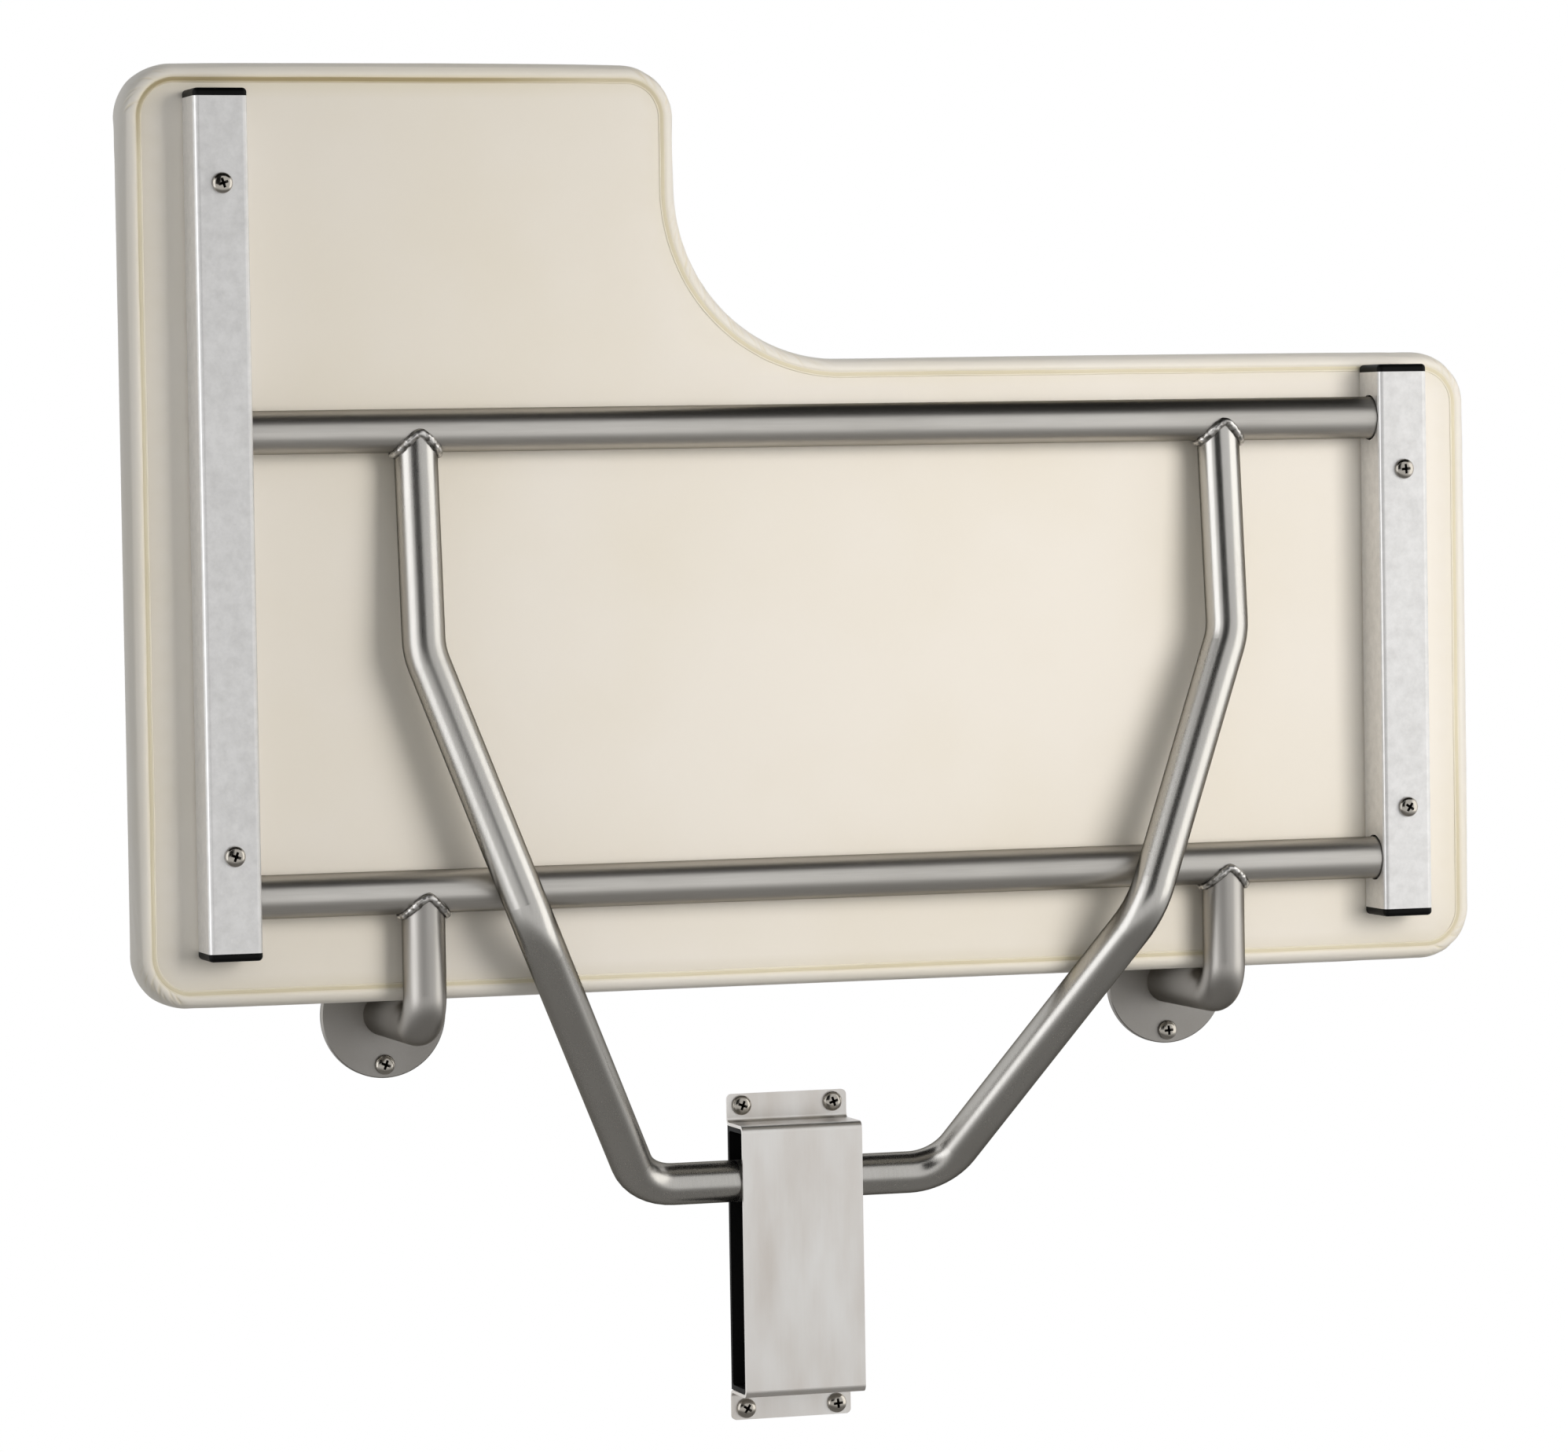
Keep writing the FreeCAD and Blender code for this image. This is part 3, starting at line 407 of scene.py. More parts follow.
@dataclass(frozen=True)
class PlywoodFinish(Finish):
    """Birch plywood: pale rotary-cut face with long brown figure."""

    figure: str
    figure_mm: float = 8.3

    def surface(self, tree: Tree, given: bpy.types.NodeOutputs) -> tuple[dict, dict]:
        """Lay the brown figure along the board.

        Args:
            tree: the material's tree.
            given: the surface's coordinates.

        Returns:
            The inputs of the shader and those of the relief.
        """
        long = add_node(
            tree, "ShaderNodeMapping", {"Vector": given["Object"], "Scale": (0.08, 1.0, 1.0)})
        figure = add_node(tree, "ShaderNodeTexNoise", {
            "Vector": long, "Scale": 1 / (self.figure_mm * MM), "Detail": 6.0, "Distortion": 0.6})
        colour = two_tone(tree, figure, (0.35, 0.62), linear(self.figure), linear(self.colour))
        return {"Base Color": colour, "Roughness": 0.7}, {"Height": figure, "Distance": 0.1 * MM}


def new_piece(name: str, mesh: Mesh, smooth: bool = True) -> Piece:
    """Link a mesh into the scene as an object at the origin.

    Args:
        name: the piece's name, which the mesh gets too.
        mesh: its shape.
        smooth: whether its faces are shaded as one curved surface.

    Returns:
        The piece.
    """
    mesh.name = name
    piece = bpy.data.objects.new(name, mesh)
    bpy.context.scene.collection.objects.link(piece)
    mesh.polygons.foreach_set("use_smooth", [smooth] * len(mesh.polygons))
    return piece


def plain_mesh(piece: Piece) -> Mesh:
    """Give the evaluated shape of an object as a mesh of its own."""
    graph = bpy.context.evaluated_depsgraph_get()
    return bpy.data.meshes.new_from_object(piece.evaluated_get(graph))


def listed_mesh(
    name: str, spots: list, edges: list | tuple = (), faces: list | tuple = ()
) -> Mesh:
    """Make a mesh from lists.

    Args:
        name: the mesh's name.
        spots: its points.
        edges: pairs of points.
        faces: rows of points.

    Returns:
        The mesh.
    """
    mesh = bpy.data.meshes.new(name)
    mesh.from_pydata(spots, list(edges), list(faces))
    return mesh


def closed_mesh(work: bmesh.types.BMesh, name: str) -> Mesh:
    """Turn the faces of a closed form outwards, and make it a mesh.

    Args:
        work: the form, which is freed.
        name: the mesh's name.

    Returns:
        The mesh.
    """
    bmesh.ops.recalc_face_normals(work, faces=work.faces)
    mesh = bpy.data.meshes.new(name)
    work.to_mesh(mesh)
    work.free()
    return mesh


def join_rows(work: bmesh.types.BMesh, rows: list) -> None:
    """Lay faces from each closed row of points to the next.

    Args:
        work: the form that the points are in.
        rows: the rows, all of one length or a single point.
    """
    for near, far in zip(rows, rows[1:]):
        count = max(len(near), len(far))
        for here in range(count):
            there = (here + 1) % count
            corners = [row[place % len(row)] for row, place in (
                (near, here), (near, there), (far, there), (far, here))]
            work.faces.new(list(dict.fromkeys(corners)))


def read_spots(mesh: Mesh) -> np.ndarray:
    """Give the places of a mesh's points.

    Args:
        mesh: the mesh.

    Returns:
        X, Y and Z, one row for each point.
    """
    spots = np.zeros(len(mesh.vertices) * 3)
    mesh.vertices.foreach_get("co", spots)
    return spots.reshape(-1, 3)


def read_values(mesh: Mesh, name: str) -> np.ndarray:
    """Give what a named attribute holds.

    Args:
        mesh: the mesh.
        name: the attribute's name.

    Returns:
        One number for each of the mesh's points.
    """
    values = np.zeros(len(mesh.vertices))
    mesh.attributes[name].data.foreach_get("value", values)
    return values


def store_values(mesh: Mesh, name: str, values: np.ndarray | list) -> None:
    """Keep one number for each of a mesh's points as a named attribute."""
    mesh.attributes.new(name, "FLOAT", "POINT").data.foreach_set("value", values)


def sized_tree(name: str, inputs: dict[str, str]) -> tuple[Tree, bpy.types.NodeOutputs]:
    """Start a geometry tree with a geometry input and output and named inputs.

    Args:
        name: the tree's name.
        inputs: input name to the last word of its socket's type.

    Returns:
        The tree, and what comes in by name.
    """
    tree = bpy.data.node_groups.new(name, "GeometryNodeTree")
    socket = tree.interface.new_socket
    socket(name="Geometry", in_out="OUTPUT", socket_type="NodeSocketGeometry")
    for label, kind in {"Geometry": "Geometry", **inputs, "Material": "Material"}.items():
        socket(name=label, in_out="INPUT", socket_type=f"NodeSocket{kind}")
    return tree, add_node(tree, "NodeGroupInput").outputs


def end_tree(tree: Tree, shape: Node, material: Socket) -> None:
    """End a geometry tree with real geometry that has its material.

    Args:
        tree: the geometry tree.
        shape: the node that gives the shape.
        material: the input that holds the material.
    """
    whole = add_node(tree, "GeometryNodeRealizeInstances", {"Geometry": shape})
    dressed = add_node(tree, "GeometryNodeSetMaterial", {"Geometry": whole, "Material": material})
    add_node(tree, "NodeGroupOutput", {"Geometry": dressed})


def grown(name: str, seed: Mesh, tree: Tree, values: dict) -> Piece:
    """Run a geometry tree on a mesh and keep the result as a plain piece.

    Args:
        name: the piece's name.
        seed: the mesh that the tree starts from.
        tree: the geometry tree.
        values: input name to value.

    Returns:
        The piece, with no modifier left.
    """
    source = bpy.data.objects.new(f"{name}_seed", seed)
    bpy.context.scene.collection.objects.link(source)
    modifier = source.modifiers.new("grow", "NODES")
    modifier.node_group = tree
    for item in tree.interface.items_tree:
        if item.in_out == "INPUT" and item.name in values:
            modifier[item.identifier] = values[item.name]
    mesh = plain_mesh(source)
    bpy.data.objects.remove(source)
    return new_piece(name, mesh)


def bead_tree() -> Tree:
    """Build the tree that lays a ridged bead or a smooth welt along a closed path.

    Returns:
        The tree.
    """
    sizes = ("Radius", "Ripple Length", "Ripple", "Unevenness", "Step")
    tree, given = sized_tree("bead_along_path", dict.fromkeys(sizes, "Float"))
    path = add_node(tree, "GeometryNodeMeshToCurve", {"Mesh": given["Geometry"]})
    even = add_node(
        tree, "GeometryNodeResampleCurve", {"Curve": path, "Length": given["Step"]}, mode="LENGTH")
    along = add_node(tree, "GeometryNodeSplineParameter").outputs["Length"]
    turns = add_node(
        tree, "ShaderNodeMath", {0: along, 1: given["Ripple Length"]}, operation="DIVIDE")
    angle = add_node(tree, "ShaderNodeMath", {0: turns, 1: math.tau}, operation="MULTIPLY")
    wave = add_node(tree, "ShaderNodeMath", {0: angle}, operation="SINE")
    swell = add_node(
        tree, "ShaderNodeMath", {0: wave, 1: given["Ripple"], 2: 1.0}, operation="MULTIPLY_ADD")
    thick = add_node(tree, "GeometryNodeSetCurveRadius", {"Curve": even, "Radius": swell})
    section = add_node(
        tree, "GeometryNodeCurvePrimitiveCircle", {"Resolution": 14, "Radius": given["Radius"]})
    bead = add_node(tree, "GeometryNodeCurveToMesh", {"Curve": thick, "Profile Curve": section})
    # The seed of this noise is its fixed W, so the bead is the same each time.
    rough = add_node(
        tree, "ShaderNodeTexNoise", {"W": 3.7, "Scale": 420.0, "Detail": 2.0},
        noise_dimensions="4D")
    centred = add_node(
        tree, "ShaderNodeVectorMath", {0: rough.outputs["Color"], 1: (0.5, 0.5, 0.5)},
        operation="SUBTRACT")
    shift = add_node(
        tree, "ShaderNodeVectorMath", {0: centred, "Scale": given["Unevenness"]},
        operation="SCALE")
    moved = add_node(tree, "GeometryNodeSetPosition", {"Geometry": bead, "Offset": shift})
    end_tree(tree, moved, given["Material"])
    return tree


def screw_tree() -> Tree:
    """Build the tree that sets one screw at each point, each turned by its own angle.

    Returns:
        The tree.
    """
    tree, given = sized_tree(
        "screws_at_points", {"Screw": "Object", "First Turn": "Float", "Turn": "Float"})
    screw = add_node(tree, "GeometryNodeObjectInfo", {"Object": given["Screw"]})
    number = add_node(tree, "GeometryNodeInputIndex")
    angle = add_node(
        tree, "ShaderNodeMath", {0: number, 1: given["Turn"], 2: given["First Turn"]},
        operation="MULTIPLY_ADD")
    turn = add_node(tree, "ShaderNodeCombineXYZ", {"Y": angle})
    spread = add_node(tree, "GeometryNodeInstanceOnPoints", {
        "Points": given["Geometry"], "Instance": screw.outputs["Geometry"], "Rotation": turn})
    end_tree(tree, spread, given["Material"])
    return tree


@dataclass
class PadOutline:
    """The L-shaped outline of the pad, seen from the front."""

    left: float = -0.4165
    right: float = 0.4215
    low: float = 0.0135
    short: float = 0.387
    tall: float = 0.561
    step: float = -0.0825
    corner: float = 0.03175
    hollow: float = 0.1
    straight_step: float = 0.005
    corner_step: float = 0.0012
    points: np.ndarray = field(init=False)
    inward: np.ndarray = field(init=False)
    along: np.ndarray = field(init=False)
    bend: np.ndarray = field(init=False)

    def __post_init__(self) -> None:
        """Sample the outline counter-clockwise, closely round its corners."""
        corners = [
            (self.right, self.low, self.corner), (self.right, self.short, self.corner),
            (self.step, self.short, self.hollow), (self.step, self.tall, self.corner),
            (self.left, self.tall, self.corner), (self.left, self.low, self.corner),
        ]
        arcs = []
        for index, (x, z, radius) in enumerate(corners):
            here = np.array([x, z])
            back = np.array(corners[index - 1][:2]) - here
            ahead = np.array(corners[(index + 1) % len(corners)][:2]) - here
            back, ahead = back / np.linalg.norm(back), ahead / np.linalg.norm(ahead)
            turn = np.sign(-(back[0] * ahead[1] - back[1] * ahead[0]))
            centre = here + (back + ahead) * radius
            arcs.append((centre, here + back * radius, here + ahead * radius, radius, turn))
        points, inward, bend = [], [], []
        for index, (centre, start, end, radius, turn) in enumerate(arcs):
            first = start - centre
            count = max(8, int(radius * math.pi / 2 / self.corner_step))
            for step in range(count + 1):
                angle = math.pi / 2 * turn * step / count
                cos, sin = math.cos(angle), math.sin(angle)
                arm = np.array([[cos, -sin], [sin, cos]]) @ first
                points.append(centre + arm)
                inward.append(-turn * arm / radius)
                bend.append(turn * math.sin(math.pi * step / count))
            run = arcs[(index + 1) % len(arcs)][1] - end
            length = np.linalg.norm(run)
            pieces = max(2, int(length / self.straight_step))
            for step in range(1, pieces):
                points.append(end + run * step / pieces)
                inward.append(np.array([-run[1], run[0]]) / length)
                bend.append(0.0)
        self.points, self.inward, self.bend = np.array(points), np.array(inward), np.array(bend)
        gaps = np.linalg.norm(self.points - np.roll(self.points, 1, axis=0), axis=1)
        gaps[0] = 0.0
        self.along = np.cumsum(gaps)

    def ring(self, inset: float) -> np.ndarray:
        """Give the outline moved inwards by an inset."""
        return self.points + self.inward * inset

    def depth_inside(self, spots: np.ndarray) -> np.ndarray:
        """Give how far spots lie from the outline.

        Args:
            spots: their X and Z, one row each.

        Returns:
            The distance of each.
        """
        start = self.points
        run = np.roll(start, -1, axis=0) - start
        length = np.maximum((run ** 2).sum(axis=1), 1e-12)
        nearest = np.full(len(spots), 1e9)
        for point, edge, square in zip(start, run, length):
            offset = spots - point
            share = np.clip(offset @ edge / square, 0.0, 1.0)
            away = offset - share[:, None] * edge
            nearest = np.minimum(nearest, np.sqrt((away ** 2).sum(axis=1)))
        return nearest

    def filled(self, inset: float, spacing: float) -> tuple[np.ndarray, list, list]:
        """Fill the outline at an inset with an even net of triangles.

        Args:
            inset: how far inside the outline the net ends.
            spacing: the distance between the net's inner points.

        Returns:
            The net's points, its triangles and, for each point, its place in the ring or -1.
        """
        ring = self.ring(inset)
        low, high = ring.min(axis=0), ring.max(axis=0)
        spots = []
        # The rows of an even triangle net lie 0.866 of its spacing apart.
        for number, z in enumerate(np.arange(low[1], high[1], spacing * 0.866)):
            start = low[0] + (spacing / 2 if number % 2 else 0.0)
            spots.extend((x, z) for x in np.arange(start, high[0], spacing))
        spots = np.array(spots)
        # A point closer to the ring than 0.6 of the spacing would make slivers.
        inner = self.inside(spots) & (self.depth_inside(spots) > inset + spacing * 0.6)
        every = np.vstack([ring, spots[inner]]) / MM
        # The 1 keeps only the triangles inside the ring.
        made = delaunay_2d_cdt(
            [Vector(spot) for spot in every], [], [list(range(len(ring)))], 1, 1e-4)
        net = np.array([tuple(spot) for spot in made[0]]) * MM
        origin = [min(source) if source else -1 for source in made[3]]
        places = [source if 0 <= source < len(ring) else -1 for source in origin]
        return net, [list(face) for face in made[2]], places

    def inside(self, spots: np.ndarray) -> np.ndarray:
        """Say which spots lie inside the sharp-cornered L.

        Args:
            spots: their X and Z, one row each.

        Returns:
            Yes or no for each.
        """
        x, z = spots[:, 0], spots[:, 1]
        foot = (x > self.left) & (x < self.right) & (z > self.low) & (z < self.short)
        head = (x > self.left) & (x < self.step) & (z > self.low) & (z < self.tall)
        return foot | head


def shell_from_rings(
    name: str, outline: PadOutline, rings: list[tuple[float, np.ndarray]], caps: tuple,
    spacing: float,
) -> Piece:
    """Build a closed shell from rings round an outline and a filled net at each end.

    Args:
        name: the piece's name.
        outline: the outline that all rings follow.
        rings: for each ring its inset and its Y at each point, from the first cap to the last.
        caps: for each end a function from the spots inside to their Y.
        spacing: the distance between a net's inner points.

    Returns:
        The piece, with its faces outwards.
    """
    work = bmesh.new()
    rows = [
        [work.verts.new((p[0], y, p[1])) for p, y in zip(outline.ring(inset), depth)]
        for inset, depth in rings
    ]
    join_rows(work, rows)
    for end, cap in zip((0, -1), caps):
        net, faces, places = outline.filled(rings[end][0], spacing)
        spots = [
            rows[end][place] if place >= 0 else work.verts.new((p[0], y, p[1]))
            for p, y, place in zip(net, cap(net), places)
        ]
        for face in faces:
            corners = [spots[i] for i in face]
            if len(set(corners)) == 3:
                work.faces.new(corners)
    return new_piece(name, closed_mesh(work, name))


def waves(x: np.ndarray, z: np.ndarray, seed: int, size: float) -> np.ndarray:
    """Give a smooth uneven surface, from -1 to 1, as a sum of turned waves.

    Args:
        x: first coordinates.
        z: second coordinates.
        seed: fixes the waves.
        size: the length of the longest wave.

    Returns:
        One value for each pair.
    """
    rule = random.Random(seed)
    total = np.zeros_like(x)
    weight = 0.0
    # Each wave is 0.72 times as long as the last, and 0.8 times as high.
    for number in range(7):
        turn = rule.uniform(0, math.tau)
        length = size * 0.72 ** number
        share = 0.8 ** number
        phase = rule.uniform(0, math.tau)
        across = x * math.cos(turn) + z * math.sin(turn)
        total += share * np.sin(across * math.tau / length + phase)
        weight += share
    return total / weight


@dataclass
class SeatCushion:
    """The foam pad in its vinyl cover, its flat underside panel and the welt between them."""

    front: float = -0.085725
    seam: float = 0.0098
    shoulder: float = 0.006
    crown_reach: float = 0.086
    side: float = 0.038
    crown: float = 0.006
    swell: float = 0.0028
    # How much of the swelling goes outwards along the wall
    sideways: float = 0.35
    net: float = 0.009
    # How uneven the roll, the crown and the panel are at most, and how far the welt strays
    roll_ease: float = 0.25 * MM
    crown_ease: float = 0.3 * MM
    panel_ease: float = 0.1 * MM
    welt_stray: float = 0.25 * MM
    # The middle of the roll, which is even, and how quickly it turns uneven above and below
    middle_mm: float = 20.0
    even_mm: float = 16.0
    # How far the panel sinks at the seam, and over what distance it rises again
    panel_sink: float = 0.45 * MM
    panel_rise: float = 25 * MM
    # How far up the roll the cover is gathered, and the least bend of the outline that gathers it
    gathered: float = 0.022
    least_bend: float = 0.08
    crease_reach: float = 0.016
    deepest_mm: float = 0.7
    # How wide the seam's band of yellowing and painted shade is
    stain_and_shade_width: float = 0.0021
    welt_depth: float = 0.00035
    welt_half: float = 0.00045
    band_radius: float = 0.0015
    ridge_radius: float = 0.0006
    outline: PadOutline = field(default_factory=PadOutline)

    # The ring of the section that the stitches hold
    STITCHED = 4
    # Inset and depth of the cover's section, in millimetres, from the seam round to the crown
    SECTION = (
        (13.5, 1.6), (11.6, 1.3), (10.4, 0.75), (9.3, 0.45), (8.5, -0.1), (7.7, -0.4),
        (6.9, -0.45), (5.9, -0.2), (4.9, 0.35), (4.1, 1.05), (3.4, 1.75), (2.8, 2.5), (2.3, 3.35),
        (1.85, 4.3), (1.45, 5.4), (1.1, 6.6), (0.8, 8.0), (0.55, 9.6), (0.35, 11.6), (0.15, 14.8),
        (0.0, 19.0), (0.1, 23.2), (0.5, 27.0), (1.3, 30.4), (2.6, 33.4), (4.5, 36.0), (7.0, 38.0),
        (10.2, 39.4), (13.8, 40.4), (17.4, 41.2), (21.0, 41.8),
    )
    # Inset and depth of the underside panel's turned-in edge, in millimetres
    PANEL_EDGE = ((11.2, 0.75), (10.9, 1.35))
    # What each crease is drawn from: the gap before it in millimetres, its slant in degrees, and
    # its start, length, width and depth in millimetres
    CREASES = ((1.4, 4.4), (24, 52), (0.5, 7.0), (2.5, 7.0), (0.45, 0.85), (0.2, 0.62))
    # How the cover behaves as cloth, and for how many frames it swells
    CLOTH = {
        "quality": 4, "mass": 0.5, "tension_stiffness": 30, "compression_stiffness": 30,
        "shear_stiffness": 15, "bending_stiffness": 2, "use_pressure": True,
        "uniform_pressure_force": 4, "vertex_group_mass": "held",
    }
    CLOTH_FRAMES = 12

    def crown_height(self, inset: np.ndarray) -> np.ndarray:
        """Give the depth of the crown at a distance from the outline."""
        share = np.clip((inset - self.shoulder) / (self.crown_reach - self.shoulder), 0.0, 1.0)
        return self.side + self.crown * (1 - (1 - share) ** 2)

    def rise(self) -> np.ndarray:
        """Give the length of cover from the seam's stitches to each ring of the section.

        Returns:
            One length for each ring, below zero before the stitches.
        """
        steps = np.linalg.norm(np.diff(np.array(self.SECTION), axis=0), axis=1)
        length = np.concatenate([[0.0], np.cumsum(steps)])
        return (length - length[self.STITCHED]) * MM

    def crease(self, mesh: Mesh) -> None:
        """Press in the short slanted creases where the cover is gathered round its corners.

        Args:
            mesh: the cover, whose attribute gather then tells how deep each point went.
        """
        run, rise, gather = (read_values(mesh, name) for name in ("run", "rise", "gather"))
        outline = self.outline
        rule = random.Random(11)
        drawn = np.zeros(len(run))
        place = 0.0
        while place < outline.along[-1]:
            gap, slant, start, length, width, depth = (
                rule.uniform(*span) for span in self.CREASES)
            place += gap * MM
            slant = math.radians(slant)
            if abs(np.interp(place, outline.along, outline.bend)) < self.least_bend:
                continue
            near = (np.abs(run - place) < self.crease_reach) & (gather > 0)
            over = (run[near] - place) / MM
            up = rise[near] / MM - start - length / 2
            far = over * math.cos(slant) + up * math.sin(slant)
            across = up * math.cos(slant) - over * math.sin(slant)
            drawn[near] += depth * np.exp(-((across / width) ** 2) - (far / length) ** 2)
        drawn = np.minimum(drawn * gather, self.deepest_mm)
        normals = np.zeros(len(run) * 3)
        mesh.vertex_normals.foreach_get("vector", normals)
        spots = read_spots(mesh) - normals.reshape(-1, 3) * drawn[:, None] * MM
        mesh.vertices.foreach_set("co", spots.ravel())
        mesh.attributes["gather"].data.foreach_set("value", drawn)
        mesh.update()

    def cover(self) -> Piece:
        """Build the foam pad's cover as one closed crowned form.

        Returns:
            The cover, before it swells.
        """
        outline, front = self.outline, self.front
        rings = []
        for inset, depth in self.SECTION:
            level = np.full_like(outline.along, depth * 2 * MM)
            ease = self.roll_ease * waves(outline.along, level, seed=5, size=0.16)
            share = math.exp(-((depth - self.middle_mm) / self.even_mm) ** 2)
            rings.append((inset * MM, front + depth * MM + ease * (1 - share)))

        def underside(net: np.ndarray) -> np.ndarray:
            """Give the flat face under the panel."""
            return np.full(len(net), front + self.SECTION[0][1] * MM)

        def crown(net: np.ndarray) -> np.ndarray:
            """Give the crowned face, a little uneven."""
            height = self.crown_height(outline.depth_inside(net))
            return front + height + self.crown_ease * waves(net[:, 0], net[:, 1], seed=8, size=0.3)

        piece = shell_from_rings("seat_cushion", outline, rings, (underside, crown), self.net)
        self.mark_rings(piece.data)
        return piece

    def mark_rings(self, mesh: Mesh) -> None:
        """Store each point's place along the outline and up the roll, and how gathered it is.

        Args:
            mesh: the cover as it was built, ring by ring.
        """
        outline = self.outline
        run, rise, gather = np.zeros((3, len(mesh.vertices)))
        for row, height in enumerate(self.rise()):
            part = slice(row * len(outline.points), (row + 1) * len(outline.points))
            run[part] = outline.along
            rise[part] = height
            if row >= self.STITCHED:
                fade = max(0.0, 1 - height / self.gathered)
                # From about two thirds of the full bend on, the cover is gathered in full.
                gather[part] = np.minimum(np.abs(outline.bend) * 1.6, 1.0) * fade
        for name, values in (("run", run), ("rise", rise), ("gather", gather)):
            store_values(mesh, name, values)

    def inflate(self, piece: Piece) -> None:
        """Let the cover swell under the foam's pressure as cloth, and keep the result.

        Args:
            piece: the cover.
        """
        mesh = piece.data
        start = read_spots(mesh)
        held = piece.vertex_groups.new(name="held")
        stitched = len(self.outline.points) * (self.STITCHED + 1)
        held.add(list(range(stitched)), 1.0, "REPLACE")
        # The flat face under the panel is held too
        covered = self.front + (self.SECTION[0][1] + 0.3) * MM
        under = [v.index for v in mesh.vertices if v.co.y < covered]
        held.add(under, 1.0, "REPLACE")
        cloth = piece.modifiers.new("cloth", "CLOTH")
        for name, value in self.CLOTH.items():
            setattr(cloth.settings, name, value)
        cloth.settings.effector_weights.gravity = 0
        scene = bpy.context.scene
        for number in range(1, self.CLOTH_FRAMES + 1):
            scene.frame_set(number)
        made = plain_mesh(piece)
        shift = read_spots(made) - start
        size = np.linalg.norm(shift, axis=1, keepdims=True)
        shift *= np.minimum(1.0, self.swell / np.maximum(size, 1e-9))
        shift[:, (0, 2)] *= self.sideways
        piece.modifiers.remove(cloth)
        mesh.vertices.foreach_set("co", (start + shift).ravel())
        mesh.update()
        scene.frame_set(1)
        bpy.data.meshes.remove(made)

    def mark_yellowing_and_shade(self, mesh: Mesh, least: float = 0.4) -> None:
        """Store how yellowed each point is near the seam, and where painted shade darkens it: most
        along the pad's upper end and in the creases.

        Args:
            mesh: the shape of one of the pad's pieces.
            least: how yellowed the seam is away from the upper end.
        """
        spots = read_spots(mesh)
        inset = self.outline.depth_inside(spots[:, (0, 2)])
        near = np.exp(-((inset - self.seam) / self.stain_and_shade_width) ** 2)
        near *= spots[:, 1] < self.front + 3 * MM
        # Painted shade, strongest in the top 10 to 60 mm, and there left of the hollow curve
        upper = np.clip((spots[:, 2] - self.outline.tall + 0.06) / 0.05, 0.0, 1.0)
        upper *= 0.3 + 0.7 * np.clip((-0.13 - spots[:, 0]) / 0.1, 0.0, 1.0)
        yellow_and_shade = near * (least + (1.0 - least) * upper)
        # The gathered creases get painted shade, as deep as they were pressed
        if "gather" in mesh.attributes:
            yellow_and_shade += 0.9 * read_values(mesh, "gather")
        store_values(mesh, "seam", yellow_and_shade)

    def panel(self) -> Piece:
        """Build the flat vinyl panel that closes the underside.

        Returns:
            The panel.
        """
        outline, front = self.outline, self.front

        def face(net: np.ndarray) -> np.ndarray:
            """Give the face that shows, slightly puffed and uneven."""
            puff = np.clip((outline.depth_inside(net) - self.seam) / self.panel_rise, 0, 1)
            uneven = self.panel_ease * waves(net[:, 0], net[:, 1], seed=21, size=0.22)
            return front + self.panel_sink * (1 - puff) + uneven

        def back(net: np.ndarray) -> np.ndarray:
            """Give the flat face on the foam."""
            return np.full(len(net), front + self.PANEL_EDGE[-1][1] * MM)

        rim = 11.9 * MM
        rings = [(rim, face(outline.ring(rim)))]
        for inset, depth in self.PANEL_EDGE:
            rings.append((inset * MM, np.full(len(outline.points), front + depth * MM)))
        return shell_from_rings("underside_panel", outline, rings, (face, back), self.net)

    def strand(
        self, name: str, insets: tuple, radius: float, tree: Tree, material: Material
    ) -> Piece:
        """Lay one or more flattened strands of the welt along the seam.

        Args:
            name: the piece's name.
            insets: how far inside the outline each strand lies.
            radius: half of a strand's width.
            tree: the geometry tree that lays a bead along a path.
            material: the strand's vinyl.

        Returns:
            The strands as one piece.
        """
        outline = self.outline
        count = len(outline.points)
        level = self.front + self.welt_depth
        wander = self.welt_stray * waves(outline.along, np.zeros(count), seed=33, size=0.11)
        spots, edges = [], []
        for inset in insets:
            first = len(spots)
            for point, inward, shift in zip(outline.ring(inset), outline.inward, wander):
                spots.append((point[0] + inward[0] * shift, level, point[1] + inward[1] * shift))
            edges += [(first + i, first + (i + 1) % count) for i in range(count)]
        sizes = {
            "Radius": radius, "Ripple Length": 9 * MM, "Ripple": 0.04, "Unevenness": 0.2 * MM,
            "Step": 3 * MM, "Material": material,
        }
        piece = grown(name, listed_mesh(f"{name}_path", spots, edges), tree, sizes)
        for vertex in piece.data.vertices:
            vertex.co.y = level + (vertex.co.y - level) * min(1.0, self.welt_half / radius)
        return piece

    def build(self, tree: Tree, finishes: dict[str, Material]) -> list[Piece]:
        """Build and dress the pad's pieces.

        Args:
            tree: the geometry tree that lays a bead along a path.
            finishes: finish name to material.

        Returns:
            The cover, the panel, and the welt's band and ridges.
        """
        rough_cover = self.cover()
        self.inflate(rough_cover)
        smoother = rough_cover.modifiers.new("smooth", "SUBSURF")
        smoother.levels = smoother.render_levels = 1
        cover_mesh = plain_mesh(rough_cover)
        bpy.data.objects.remove(rough_cover)
        cover = new_piece("seat_cushion", cover_mesh)
        self.crease(cover_mesh)
        panel = self.panel()
        band = self.strand(
            "seam_band", (self.seam,), self.band_radius, tree, finishes["welt_vinyl"])
        edges = (self.seam - 1.3 * MM, self.seam + 1.4 * MM)
        ridges = self.strand(
            "seam_ridges", edges, self.ridge_radius, tree, finishes["ridge_vinyl"])
